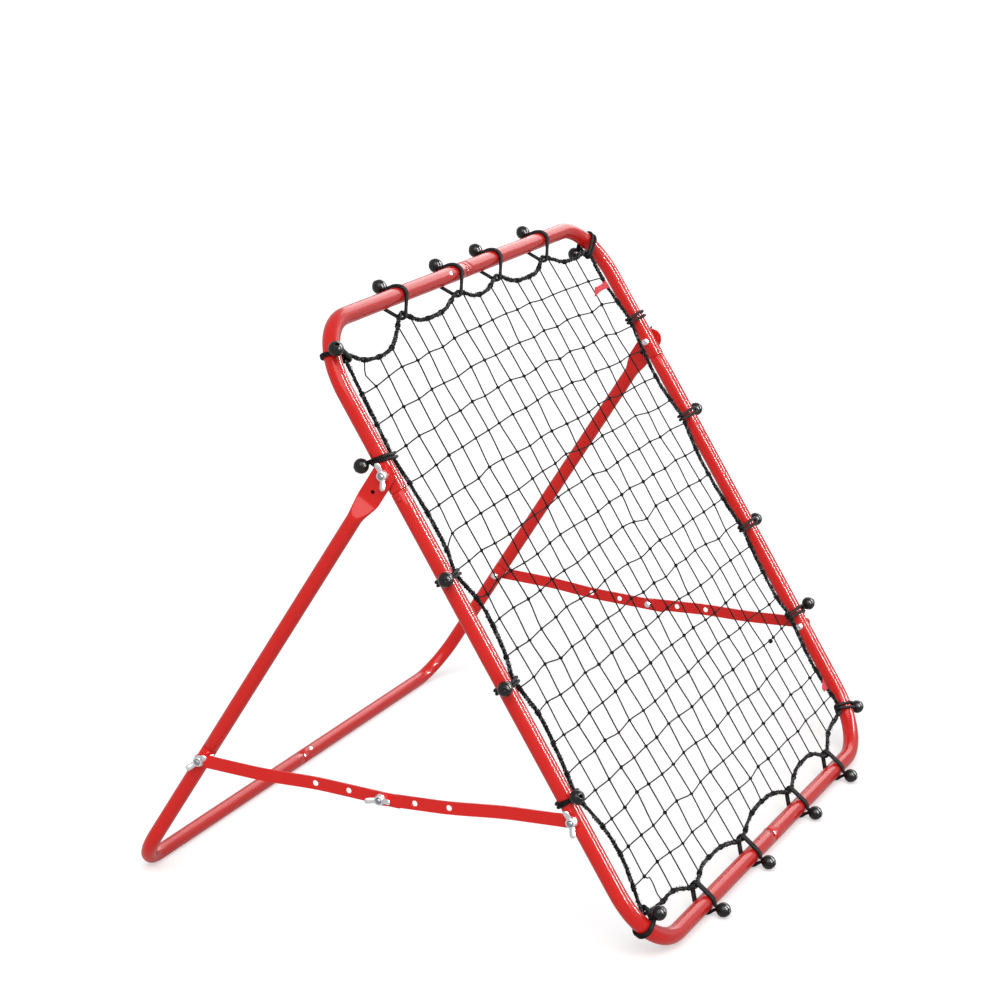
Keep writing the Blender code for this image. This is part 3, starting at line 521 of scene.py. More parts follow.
def strap(bm, base, base_plane, mid_plane, beyond):
    """A strip drawn along its length, then given its thickness."""
    towards = (MID_BOLT - base).normalized()
    upright = towards.cross(ACROSS)
    half = LINK_WIDTH / 2
    slant = LINK_LENGTH - LINK_FLAT_END - LINK_FLAT_MID
    last = LINK_LENGTH + beyond - half
    rows = [(-half * math.sin(turn), half * math.cos(turn), 0.0) for turn in END_TURNS[::-1]]
    for step in range(SLANT_STEPS + 1):
        share = step / SLANT_STEPS
        rows.append((LINK_FLAT_END + slant * share, half, eased(share)))
    rows += [(last + half * math.sin(turn), half * math.cos(turn), 1.0) for turn in END_TURNS]
    strip = None
    for along, width, step in rows:
        middle = (base + towards * along
                  + ACROSS * (base_plane + (mid_plane - base_plane) * step))
        pair = middle - upright * width, middle + upright * width
        if strip is None:
            strip = bm.edges.new([bm.verts.new(place) for place in pair])
            continue
        grown = bmesh.ops.extrude_edge_only(bm, edges=[strip])["geom"]
        new = [item for item in grown if isinstance(item, bmesh.types.BMVert)]
        strip = bm.edges.get(new)
        new.sort(key=lambda vert: vert.co.dot(upright))
        new[0].co, new[1].co = pair
    thick = bmesh.ops.extrude_face_region(bm, geom=bm.faces[:])["geom"]
    bmesh.ops.translate(bm, vec=ACROSS * LINK_THICKNESS,
                        verts=[item for item in thick if isinstance(item, bmesh.types.BMVert)])
    spots = [0.0] + [LINK_LENGTH - LINK_HOLE_PITCH * count for count in range(LINK_HOLES)]
    return [through(base + towards * along + ACROSS * base_plane) for along in spots]


for hand, side in SIDES.items():
    for kind, base, base_plane, mid_plane, beyond in (
            ("rear", LEG_BOLT, LEG_SIDE, REAR_LINK_MID, REAR_BEYOND),
            ("front", FRAME_BOLT, FRAME_SIDE, FRONT_LINK_MID, FRONT_BEYOND)):
        bm = bmesh.new()
        holes = strap(bm, base, base_plane, mid_plane, beyond)
        link = add_piece(f"{kind}_strap_{hand}", bm, RED_PAINT, side)
        drill(link, holes, side)
        rub(link, (base + ACROSS * base_plane, MID_BOLT + ACROSS * mid_plane), side, 0.012)
        rounded = link.modifiers.new("rounded", "BEVEL")
        rounded.width = LINK_EDGE
        rounded.segments = 2
        rounded.limit_method = "ANGLE"
        rounded.angle_limit = math.radians(50)
        stand_for(link, f"{kind}_link_{hand}")


# Bolts and wing nuts
# Zinc plated steel. Each bolt is pushed out from the inside, and its wing nut, with a round
# hub and two round wings, is done up by hand on the outside.
BOLT_R = 0.0039
THREAD = 0.00125               # pitch
HEAD_R = 0.006
HEAD_HEIGHT = 0.0045
PLAIN_SHANK = 0.0035           # under the head
THREAD_FROM = 0.004            # from the head to the thread's first turn
BOLT_PAST = 0.002              # how far a bolt stands out of its nut
NUT_HEIGHT = 0.0085
NUT_BASE_R = 0.0085
NUT_TOP_R = 0.0070
NUT_BORE = 0.0041              # radius
WING_REACH = 0.0195            # from the nut's axis
WING_FROM = 0.0056             # height of a wing's root, and how far its tip rises
WING_RISE = 0.0065
WING_HALF_WIDTH = 0.0043
WING_HALF_THICKNESS = 0.0022
TONGUE_SIDE = 0.5018
TOUCH = 0.0003
INNER_FACE = 0.4747
NUTS = {
    "pivot": (PIVOT, INNER_FACE, TONGUE_SIDE + TONGUE_THICKNESS + TOUCH, (0, 0.26, 0.96)),
    "frame_link": (FRAME_BOLT, INNER_FACE, FRAME_SIDE + LINK_THICKNESS + TOUCH,
                   (0, 0.35, 0.94)),
    "leg_link": (LEG_BOLT, LEG_X - LEG_R - TOUCH, LEG_SIDE + LINK_THICKNESS + TOUCH,
                 (0, 0.79, -0.61)),
    "mid": (MID_BOLT, REAR_LINK_MID - TOUCH, FRONT_LINK_MID + LINK_THICKNESS + TOUCH,
            (0, 1.0, -0.1)),
}

zinc = Finish("zinc_plate", {"Metallic": 1.0})
zinc_tone = zinc.blend(zinc.noise(260.0), (0.86, 0.87, 0.88, 1), (0.66, 0.67, 0.70, 1))
ZINC = zinc.set(base_color=zinc_tone, roughness=zinc.noise(700.0) * 0.22 + 0.20,
                normal=zinc.bump(zinc.noise(1500.0, 2.0), 0.00006, 0.4))
steel = Finish("dull_bolt_steel", {"Metallic": 1.0})
BOLT_STEEL = steel.set(
    base_color=steel.blend(steel.noise(300.0), (0.42, 0.43, 0.45, 1), (0.24, 0.25, 0.27, 1)),
    roughness=steel.noise(800.0) * 0.2 + 0.3)


def lathe(bm, place, profile, steps=28):
    """Spin a profile of (radius, height) round Z; a radius of nothing closes the end."""
    chain = [bm.verts.new((radius, 0, height)) for radius, height in profile]
    edges = [bm.edges.new(pair) for pair in zip(chain, chain[1:])]
    before = set(bm.verts) - set(chain)
    bmesh.ops.spin(bm, geom=chain + edges, cent=(0, 0, 0), axis=(0, 0, 1),
                   angle=2 * math.pi, steps=steps, use_merge=True)
    made = [vert for vert in bm.verts if vert not in before]
    bmesh.ops.remove_doubles(bm, verts=made, dist=1e-6)
    made = [vert for vert in bm.verts if vert not in before]
    bmesh.ops.transform(bm, matrix=place, verts=made)


def threaded(start, end):
    """Profile of a threaded shank with a chamfered tip."""
    count = int((end - start) / THREAD)
    profile = []
    for turn in range(count):
        height = start + turn * THREAD
        profile += [(BOLT_R - 0.00035, height), (BOLT_R, height + THREAD / 2)]
    return profile + [(BOLT_R - 0.0003, end - 0.0006), (BOLT_R - 0.0011, end), (0, end)]


def bolt_piece(name, side, at, start, end, head=True):
    """The head is bright and shows inside; the threaded end outside is duller."""
    profile = threaded(start + (THREAD_FROM if head else 0), end)
    if head:
        dome = [(HEAD_R * wide, start - HEAD_HEIGHT * high) for wide, high in (
            (0, 1), (0.45, 0.97), (0.75, 0.78), (0.93, 0.45), (1, 0.16), (1, 0))]
        profile = dome + [(BOLT_R, start), (BOLT_R, start + PLAIN_SHANK)] + profile
    else:
        profile = [(0, start)] + profile
    bm = bmesh.new()
    lathe(bm, placed(at, ACROSS, SLOPE), profile)
    bolt = add_piece(name, bm, ZINC, side, 30)
    bolt.data.materials.append(BOLT_STEEL)
    for face in bolt.data.polygons:
        if abs(face.center.x) > abs(at.x + start) + 0.001:
            face.material_index = 1
    stand_for(bolt, name.replace("zinc_", ""))


def wing_nut(bm, place):
    """Its axis is Z and its wings lie along X."""
    base, top, bore = NUT_BASE_R, NUT_TOP_R, NUT_BORE
    lathe(bm, place, [(bore, 0.0006), (bore + 0.0006, 0), (base - 0.0006, 0), (base, 0.0007),
                      (base - 0.0002, 0.0022), (top + 0.0003, 0.0066),
                      (top - 0.0002, NUT_HEIGHT - 0.0005), (top - 0.0008, NUT_HEIGHT),
                      (bore + 0.0005, NUT_HEIGHT), (bore, NUT_HEIGHT - 0.0006),
                      (bore, 0.0006)], 32)
    for hand in (-1, 1):
        rings = []
        for reach, rise, size in ((0.28, 0.02, 0.92), (0.45, 0.20, 0.95), (0.62, 0.45, 1.0),
                                  (0.76, 0.68, 1.02), (0.86, 0.83, 0.98), (0.93, 0.91, 0.84),
                                  (0.975, 0.97, 0.60), (0.998, 0.995, 0.28)):
            point = Vector((hand * reach * WING_REACH, 0, WING_FROM + WING_RISE * rise))
            lean = Vector((1, 0, hand * (0.35 + 0.35 * reach)))
            rings.append(section(place @ placed(point, lean, Vector((0, 1, 0))),
                                 WING_HALF_WIDTH * size, WING_HALF_THICKNESS * size))
        draw_through(bm, rings, 16, capped=True)


for hand, side in SIDES.items():
    for kind, (at, start, seat, wings) in NUTS.items():
        past = seat + NUT_HEIGHT + BOLT_PAST
        bolt_piece(f"zinc_{kind}_bolt_{hand}", side, at, start,
                   REAR_LINK_MID + LINK_THICKNESS if kind == "mid" else past)
        if kind == "mid":
            bolt_piece(f"zinc_mid_stud_{hand}", side, at, FRONT_LINK_MID, past, head=False)
        bm = bmesh.new()
        wing_nut(bm, placed(at + ACROSS * seat, ACROSS, Vector(wings)))
        nut = add_piece(f"zinc_{kind}_wing_nut_{hand}", bm, ZINC, side, 50)
        stand_for(nut, f"{kind}_wing_nut_{hand}")


# Spring buttons
# Domed steel buttons on leaf springs inside the tubes; they spring out through a hole in
# both walls of each socket. The side ones were painted over with the frame.
BUTTON_R = 0.00375
BUTTON_PROUD = 0.0015
DOME = 0.0017                  # height of a button's domed end
LEAF = (0.028, 0.005, 0.0006)  # length, width and thickness


def snap_button(node, at, outward, along, radius, side=1, material=ZINC):
    bore = radius - 2 * TUBE_WALL - SPIGOT_FIT
    leaf_top = math.sqrt(bore ** 2 - (LEAF[1] / 2) ** 2) - TOUCH
    tip = radius + BUTTON_PROUD
    place = placed(at, outward, along)
    dome = [(BUTTON_R, leaf_top), (BUTTON_R, tip - DOME)]
    dome += [(BUTTON_R * math.cos(turn), tip - DOME * (1 - math.sin(turn)))
             for turn in (0.35, 0.7, 1.0, 1.25)]
    bm = bmesh.new()
    lathe(bm, place, [(0, leaf_top)] + dome + [(0, tip)])
    middle = Vector((LEAF[0] / 2 - BUTTON_R - TOUCH, 0, leaf_top - LEAF[2] / 2))
    bmesh.ops.create_cube(bm, size=1.0, matrix=place @ Matrix.Translation(middle)
                          @ Matrix.Diagonal((*LEAF, 1)))
    button = add_piece("steel_" + node, bm, material, side, 50)
    stand_for(button, node)


snap_button("snap_button_top", net_point(TOP_BUTTON_X, HEIGHT), FRONT, ACROSS, TUBE_R)
snap_button("snap_button_bottom", net_point(BOTTOM_BUTTON_X, 0), BOTTOM_BUTTON_OUT, ACROSS,
            TUBE_R)
snap_button("snap_button_base", FOOT + ACROSS * BASE_BUTTON_X, BASE_OUT, ACROSS, LEG_R)
for hand, side in SIDES.items():
    snap_button("snap_button_side_" + hand, net_point(HALF_W, SIDE_BUTTON_UP), ACROSS, -SLOPE,
                TUBE_R, side, RED_PAINT)
    snap_button("snap_button_leg_" + hand,
                FOOT + LEG_UP * LEG_BUTTON_UP + ACROSS * LEG_X, LEG_BUTTON_OUT, LEG_UP,
                LEG_R, side)


# Elastic loops with their balls
# Twenty loops of black elastic cord, each round a tube and the net's border rope. Both ends
# of the cord are knotted inside a moulded ball, which draws the loop tight on the tube.
CORD_R = 0.0024
ROPE_R = 0.003
BALL_R = 0.011
BALL_OFF = 0.0288              # ball's centre from the tube's
TOP_BALL_OFF = 0.0247
CORD_CLEAR = 0.0001            # between a cord and the tube
CORD_GRIP = 0.0002             # how far a cord sinks into the rope
BALL_MOUTH = 0.72              # where the cords enter the ball, as a share of its radius
PARTING = 0.00014              # how far the ball's parting line stands out
OVER_STEPS = 16                # points of a cord over the tube, and round the rope
ROUND_STEPS = 8
ROPE_HELD = {"top": 0.029, "bottom": 0.0285, "left": 0.0305, "right": 0.0265}
TOP_TURN = -25
BOTTOM_TURN = 47
# Along each tube: place, and the ball's turn in degrees from outboard to the player
LOOPS_AT = {
    "top": [(at, TOP_TURN) for at in (-0.236, -0.046, 0.0975, 0.280)],
    "bottom": [(at, BOTTOM_TURN) for at in (-0.278, -0.080, 0.143, 0.326)],
    "left": ((0.244, 59), (0.420, 26), (0.588, 26), (0.7785, -60)),
    "right": ((0.2415, 42), (0.406, 10), (0.615, 10), (0.7965, -28)),
}
# At each corner: angle round the bend from the side tube, rope distance, the ball's turn
CORNERS = {
    ("top", "left"): (30.0, 0.0320, 48),
    ("top", "right"): (44.0, 0.0290, -115),
    ("bottom", "left"): (37.5, 0.0275, 115),
    ("bottom", "right"): (22.5, 0.0215, 20),
}
# Loops drawn askew: how far along the tube the rope's end of each is pulled
SKEW = {"corner_top_left": -0.011, "left_4": 0.008}
# How far along the tube the cords run, in front, at the rope and behind, in metres
ONE_WIDE = ((0.0152, -0.0012, -0.0180), (0.0190, 0.0012, -0.0200))
PAIR_OPEN = ((-0.0042, -0.0026, -0.0027), (0.0042, 0.0026, 0.0027))
PAIR_TIGHT = ((-0.0026, -0.0026, -0.0027), (0.0026, 0.0026, 0.0027))
SPREAD = {"top": ONE_WIDE, "bottom": PAIR_TIGHT, "left": PAIR_TIGHT, "right": PAIR_OPEN,
          "corner": PAIR_OPEN}
# A doubled cord pulled into one at the upper left corner
SPREAD_AT = {"corner_top_left": ((-0.0016, -0.0016, -0.0016), (0.0016, 0.0016, 0.0016))}

elastic = Finish("elastic_cord", {"Roughness": 0.6, "Specular IOR Level": 0.12})
around, length = elastic.lay(0), elastic.lay(1)
one_way = (length * 520.0 + around * 37.7).sine()
other_way = (length * 520.0 - around * 37.7).sine()
braid = one_way * other_way
ELASTIC = elastic.set(
    base_color=elastic.blend(braid * 0.5 + 0.5, (0.003, 0.003, 0.003, 1),
                             (0.011, 0.011, 0.012, 1)),
    normal=elastic.bump(braid, 0.00025, 0.6))

moulded = Finish("moulded_ball", {"Specular IOR Level": 0.34})
BALL = moulded.set(
    base_color=moulded.blend(moulded.noise(160.0), (0.004, 0.004, 0.004, 1),
                             (0.010, 0.010, 0.011, 1)),
    roughness=moulded.noise(420.0) * 0.16 + 0.16,
    normal=moulded.bump(moulded.noise(900.0, 2.0), 0.00008, 0.5))


def cord_piece(name, runs, radius, roundness, material, closed=False):
    """Lay cord of one thickness along runs of points, as a mesh with a UV map of its lay."""
    curve = bpy.data.curves.new(name, "CURVE")
    curve.dimensions = "3D"
    curve.bevel_depth = radius
    curve.bevel_resolution = roundness
    curve.use_fill_caps = not closed
    for run in runs:
        spline = curve.splines.new("POLY")
        spline.points.add(len(run) - 1)
        spline.points.foreach_set("co", [value for point in run for value in (*point, 1.0)])
        spline.use_cyclic_u = closed
    laid = in_scene(name + "_line", curve)
    mesh = evaluated_mesh(laid)
    bpy.data.objects.remove(laid, do_unlink=True)
    mesh.name = name
    mesh.materials.clear()
    mesh.materials.append(material)
    mesh.shade_smooth()
    return in_scene(name, mesh)


def go_with_frame(piece):
    """The piece has no node of its own and moves with the net frame."""
    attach(piece, "net_frame")


def loop_place(where, item):
    """Centre on the tube, direction to the rope, rope distance and ball turn of one loop."""
    if where in SIDES:
        at, turn = item
        return (SIDES[where] * HALF_W, at), (-SIDES[where], 0), ROPE_HELD[where], turn
    if where in LOOPS_AT:
        at, turn = item
        level, inward = (HEIGHT, -1) if where == "top" else (0.0, 1)
        return (at, level), (0, inward), ROPE_HELD[where], turn
    level, hand = where
    degrees, held, turn = item
    across = SIDES[hand] * math.cos(math.radians(degrees))
    upward = math.sin(math.radians(degrees)) * (1 if level == "top" else -1)
    bend_up = HEIGHT - FRAME_BEND if level == "top" else FRAME_BEND
    centre = (SIDES[hand] * (HALF_W - FRAME_BEND) + FRAME_BEND * across,
              bend_up + FRAME_BEND * upward)
    return centre, (-across, -upward), held, turn


def cord_run(place, front, rope, back, off, skew):
    """From the ball over the front of the tube, round the rope and back behind the tube."""
    (x, up), (in_x, in_up), held, turn = place
    centre = net_point(x, up)
    inward = ACROSS * in_x + SLOPE * in_up
    along = inward.cross(FRONT)
    big, small = TUBE_R + CORD_R + CORD_CLEAR, ROPE_R + CORD_R - CORD_GRIP
    lean = math.acos((big - small) / held)
    ball = math.pi - math.radians(turn)
    mouth = off - BALL_R * BALL_MOUTH
    run = []

    def add(towards, out, shift):
        run.append(centre + inward * towards + FRONT * out + along * shift)

    def over(end, crest):
        points = []
        for step in range(OVER_STEPS + 1):
            share = step / OVER_STEPS
            angle = ball + (end - ball) * share
            lift = max(0.0, 1 - share * 5) ** 1.5
            reach = big + (mouth - big) * lift
            shift = crest * (0.16 + 0.84 * math.sin(math.pi / 2 * min(1, share * 1.15)))
            points.append((reach * math.cos(angle), reach * math.sin(angle),
                           shift + skew * share))
        return points

    for point in over(lean, front):
        add(*point)
    for step in range(ROUND_STEPS + 1):
        share = step / ROUND_STEPS
        angle = lean - 2 * lean * share
        add(held + small * math.cos(angle), small * math.sin(angle),
            skew + rope + (front * 0.1) * (1 - share) + (back * 0.1) * share)
    for point in over(2 * math.pi - lean, back)[::-1]:
        add(*point)
    return run


def ball_piece(name, place, off):
    """A ball with a raised parting line and the mouth of its bore on the outer side."""
    (x, up), (in_x, in_up), _, turn = place
    inward = ACROSS * in_x + SLOPE * in_up
    angle = math.radians(turn)
    outward = FRONT * math.sin(angle) - inward * math.cos(angle)
    at = net_point(x, up) + outward * off
    profile = [(0, -BALL_R * 0.93), (0.0034, -BALL_R * 0.93)]
    for degrees in range(-68, 67, 8):
        angle = math.radians(degrees)
        proud = PARTING if degrees == -4 else 0.0
        profile.append(((BALL_R - 0.0002 + proud) * math.cos(angle),
                        (BALL_R - 0.0002) * math.sin(angle)))
    profile += [(0.0040, 0.0102), (0.0037, 0.0107), (0.0031, 0.0108), (0.0027, 0.0103),
                (0.0026, 0.0050), (0, 0.0045)]
    bm = bmesh.new()
    lathe(bm, placed(at, outward, inward), profile, 32)
    go_with_frame(add_piece(name, bm, BALL, sharp=45))


loops = {}
for corner, tube in ((("bottom", "left"), "bottom"), (("bottom", "right"), "right"),
                     (("top", "right"), "top"), (("top", "left"), "left")):
    loops["corner_" + "_".join(corner)] = ("corner", loop_place(corner, CORNERS[corner]))
    numbered = list(enumerate(LOOPS_AT[tube], 1))
    if tube in ("top", "left"):
        numbered.reverse()
    for number, item in numbered:
        loops[f"{tube}_{number}"] = (tube, loop_place(tube, item))
for name, (kind, place) in loops.items():
    flip = -1 if kind == "top" else 1
    off = TOP_BALL_OFF if kind == "top" else BALL_OFF
    runs = [cord_run(place, front * flip, rope, back * flip, off, SKEW.get(name, 0.0))
            for front, rope, back in SPREAD_AT.get(name, SPREAD[kind])]
    loop = cord_piece("elastic_loop_" + name, runs, CORD_R, 3, ELASTIC)
    stand_for(loop, "ball_bungee_" + name)
    ball_piece("loop_ball_" + name, place, off)


# Border rope
# Black rope of three twisted strands, threaded round the net's edge meshes. The loops hold
# it out to the tubes, it hangs slack between them, and its fibres stand out a little.
ROPE_LAY = 0.0135
STRAND_OFF = 0.00175           # each strand's centre from the rope's
STRAND_R = 0.00155
LUMPINESS = 0.22               # how much the strands' twist swells and shrinks
SHAKE = 0.00015
FIBRES = 2600
FIBRE_R = 0.00024
FIBRE_ROOT = 0.0024            # from the rope's centre line to a fibre's root, and to its tip
FIBRE_REACH = (0.0034, 0.0060)
FIBRE_AHEAD = 0.004
HELD_HALF = 0.007              # half the length that a loop keeps straight
ROUTE_PITCH = 0.002
# Slack points after each loop, anticlockwise, as (across, up the slope)
SLACK = {
    "corner_bottom_left": ((-0.3885, 0.0459), (-0.3428, 0.0459)),
    "bottom_1": ((-0.2285, 0.0424), (-0.1523, 0.0424)),
    "bottom_2": ((-0.0076, 0.0459), (0.0762, 0.0459)),
    "bottom_3": ((0.2057, 0.0459), (0.2742, 0.0459)),
    "bottom_4": ((0.3809, 0.0530),),
    "corner_bottom_right": ((0.4532, 0.1130), (0.4494, 0.1696)),
    "right_1": ((0.4494, 0.2826), (0.4532, 0.3533)),
    "right_2": ((0.4494, 0.4663), (0.4456, 0.5370)),
    "right_3": ((0.4456, 0.6783), (0.4494, 0.7348)),
    "right_4": ((0.4450, 0.8650),),
    "corner_top_right": ((0.4037, 0.9277), (0.3428, 0.9277)),
    "top_4": ((0.2285, 0.9291), (0.1523, 0.9291)),
    "top_3": ((0.0457, 0.9326), (0.0000, 0.9326)),
    "top_2": ((-0.1143, 0.9291), (-0.1904, 0.9291)),
    "top_1": ((-0.3123, 0.9079), (-0.3900, 0.9062)),
    "corner_top_left": ((-0.4494, 0.8650),),
    "left_4": ((-0.4479, 0.6924), (-0.4479, 0.6288)),
    "left_3": ((-0.4357, 0.5299), (-0.4418, 0.4663)),
    "left_2": ((-0.4418, 0.3603), (-0.4480, 0.2950)),
    "left_1": ((-0.4342, 0.1837), (-0.4288, 0.1272)),
}

twine = Finish("net_twine", {"Roughness": 0.8, "Specular IOR Level": 0.08})
around, length = twine.lay(0), twine.lay(1)
twist = (length * 900.0 + around * 18.85).sine()
fuzz = twine.noise(1800.0, 3.0)
TWINE = twine.set(
    base_color=twine.blend(fuzz, (0.002, 0.002, 0.002, 1), (0.014, 0.014, 0.015, 1)),
    normal=twine.bump(twist * 0.5 + fuzz, 0.0002, 0.8))

frayed = Finish("frayed_rope", {"Roughness": 0.85, "Specular IOR Level": 0.1})
fleck = frayed.noise(260.0, 3.0).above(0.57)
ROPE_YARN = frayed.set(
    base_color=frayed.blend(fleck, (0.003, 0.003, 0.003, 1), (0.12, 0.12, 0.13, 1)),
    normal=frayed.bump(frayed.noise(900.0, 3.0), 0.0005, 0.9))


def smooth_through(points, pitch, closed):
    """Points about a pitch apart on a smooth curve through the ones given."""
    count = len(points)
    found = []
    for index in range(count if closed else count - 1):
        before, start, end, after = (points[(index + step) % count] if closed
                                     else points[min(max(index + step, 0), count - 1)]
                                     for step in (-1, 0, 1, 2))
        steps = max(2, round((end - start).length / pitch))
        for step in range(steps):
            t = step / steps
            found.append(0.5 * (2 * start + (end - before) * t
                                + (2 * before - 5 * start + 4 * end - after) * t ** 2
                                + (3 * start - before - 3 * end + after) * t ** 3))
    return found if closed else found + [points[-1]]


route = []
for name, (_, ((x, up), (in_x, in_up), held, _)) in loops.items():
    way = Vector((in_up, -in_x))
    joint = Vector((x + in_x * held, up + in_up * held)) + way * SKEW.get(name, 0.0)
    route += [joint - way * HELD_HALF, joint + way * HELD_HALF]
    route += [Vector(point) for point in SLACK[name]]
route = smooth_through(route, ROUTE_PITCH, closed=True)


def at_route(index):
    """A point of the route, the one after it, the heading there and the way beside that."""
    after = route[(index + 1) % len(route)]
    heading = (after - route[index - 1]).normalized()
    return route[index], after, heading, Vector((-heading.y, heading.x))


rng = random.Random(7)
strands = [[], [], []]
fibres = []
travelled = 0.0
lumps = [rng.gauss(0, 1) for _ in range(len(route) // 3 + 4)]
for index in range(len(route)):
    point, after, _, sideways = at_route(index)
    for strand, run in enumerate(strands):
        angle = 2 * math.pi * (travelled / ROPE_LAY + strand / 3)
        off = STRAND_OFF * (1 + LUMPINESS * lumps[index // 3 + strand]) + rng.gauss(0, SHAKE)
        place = point + sideways * off * math.cos(angle)
        run.append(net_point(place.x, place.y, off * math.sin(angle)))
    travelled += (after - point).length
for _ in range(FIBRES):
    point, _, heading, sideways = at_route(rng.randrange(len(route)))
    angle = rng.uniform(0, 2 * math.pi)
    reach = rng.uniform(*FIBRE_REACH)
    ahead = rng.uniform(-FIBRE_AHEAD, FIBRE_AHEAD)
    ends = [(FIBRE_ROOT, 0.0), (reach * 0.8, ahead * 0.5), (reach, ahead)]
    fibres.append([net_point(*(point + sideways * off * math.cos(angle) + heading * on),
                             off * math.sin(angle)) for off, on in ends])
rope = cord_piece("border_rope", strands, STRAND_R, 1, ROPE_YARN, closed=True)
stand_for(rope, "net_border_rope")
go_with_frame(cord_piece("border_rope_fibres", fibres, FIBRE_R, 0, TWINE))


# Net
# Knotted black twine, nineteen meshes each way, with every end wound round the border
# rope. The strand at the left edge is kinked at its top and wavy at its foot.
TWINE_R = 0.00105
WINDING_R = 0.0034             # of the twine's turns round the border rope
WINDING_PITCH = 0.0024
WINDING_TURNS = (2.0, 3.5)
WINDING_STEPS = 24
HITCH_R = 0.0011               # radius of the twine in a knot, drawn flat by its pull
KNOT_SIZES = (0.9, 1.15)
CROSSING_SHAKE = (0.0018, 0.0017, 0.0007)
TWINE_PITCH = 0.0117           # between a twine's points
FOOT_UP, TOP_UP = 0.045, 0.930
LEFT_AT, RIGHT_AT = -0.440, 0.447
ACROSS_AT = (-0.4037, -0.3565, -0.3100, -0.2628, -0.2156, -0.1683, -0.1204, -0.0739, -0.0267,
             0.0206, 0.0686, 0.1150, 0.1607, 0.2080, 0.2559, 0.3032, 0.3542, 0.3999)
UP_AT = (0.0862, 0.1342, 0.1816, 0.2275, 0.2720, 0.3193, 0.3674, 0.4119, 0.4592, 0.5073,
         0.5532, 0.6005, 0.6465, 0.6924, 0.7418, 0.7878, 0.8351, 0.8832)
KINKED_TOP = ((-0.4190, 0.8867, 0.002), (-0.3961, 0.9079, 0.0))
WAVY_FOOT = ((-0.3850, 0.0470, 0.0), (-0.3890, 0.0590, 0.0), (-0.3895, 0.0720, 0.002),
             (-0.3880, 0.0850, 0.001))
SAGGING_END = {12: -0.014}     # row, and how much lower it meets the rope at the left
LOOSE_END = ((-0.4479, 0.6889, 0.002), (-0.4560, 0.6905, 0.006), (-0.4590, 0.6840, 0.004))
BLOB = (0.3466, 0.2296, 0.0)   # a lump of two big knots between two crossings
BLOB_SIZE = 1.4
# The loops' pull bows the columns and the rows, in millimetres for each term of bowed()
BOW_ACROSS = (0.5, 3.9, -10.8, -1.8, -4.5, 4.9, -1.2, 1.6, -4.0, 0.5)
BOW_UP = (4.9, 4.6, 0.2, -4.5, 2.8, -2.3, 0.6, -7.7, -1.4, 0.9)


def bowed(x, up):
    a, b = x / 0.4, (up - 0.485) / 0.4
    terms = (1, a, b, a * a, a * b, b * b, a ** 3, a * a * b, a * b * b, b ** 3)
    return tuple(start + sum(share * term for share, term in zip(bow, terms)) / 1000
                 for start, bow in ((x, BOW_ACROSS), (up, BOW_UP)))


def rope_crossings(axis, value):
    """Where a straight twine meets the border rope, lowest and highest."""
    found = []
    for start, end in zip(route, route[1:] + route[:1]):
        if min(start[axis], end[axis]) <= value < max(start[axis], end[axis]):
            share = (value - start[axis]) / (end[axis] - start[axis])
            found.append(start.lerp(end, share)[1 - axis])
    return min(found), max(found)


crossings = {}
for column, x in enumerate(ACROSS_AT):
    for row, up in enumerate(UP_AT):
        crossings[column, row] = tuple(place + rng.gauss(0, shake) for place, shake in
                                       zip((*bowed(x, up), 0.0), CROSSING_SHAKE))
twines = []
tied = []
for column, x in enumerate(ACROSS_AT):
    foot_x, top_x = bowed(x, FOOT_UP)[0], bowed(x, TOP_UP)[0]
    foot = [(foot_x, rope_crossings(0, foot_x)[0], 0.0)]
    top = [(top_x, rope_crossings(0, top_x)[1], 0.0)]
    if column == 0:
        foot, top = list(WAVY_FOOT), list(KINKED_TOP)
    twines.append(foot + [crossings[column, row] for row in range(len(UP_AT))] + top)
    tied += [foot[0], top[-1]]
for row, up in enumerate(UP_AT):
    left_up = bowed(LEFT_AT, up)[1] + SAGGING_END.get(row, 0.0)
    right_up = bowed(RIGHT_AT, up)[1]
    left = (rope_crossings(1, left_up)[0], left_up, 0.0)
    right = (rope_crossings(1, right_up)[1], right_up, 0.0)
    twines.append([left, *(crossings[column, row] for column in range(len(ACROSS_AT))), right])
    tied += [left, right]
twines.append(LOOSE_END)
runs = [smooth_through([net_point(*point) for point in points], TWINE_PITCH, closed=False)
        for points in twines]
net = cord_piece("knotted_net", runs, TWINE_R, 1, TWINE)
stand_for(net, "net")

wound = []
for x, up, _ in tied:
    nearest = min(range(len(route)), key=lambda index: (route[index] - Vector((x, up))).length)
    point, _, heading, sideways = at_route(nearest)
    turns = rng.uniform(*WINDING_TURNS)
    run = []
    for step in range(WINDING_STEPS + 1):
        share = step / WINDING_STEPS
        angle = 2 * math.pi * turns * share
        spot = (point + heading * WINDING_PITCH * turns * (share - 0.5)
                + sideways * WINDING_R * math.cos(angle))
        run.append(net_point(spot.x, spot.y, WINDING_R * math.sin(angle)))
    wound.append(run)
go_with_frame(cord_piece("net_windings", wound, TWINE_R, 0, TWINE))

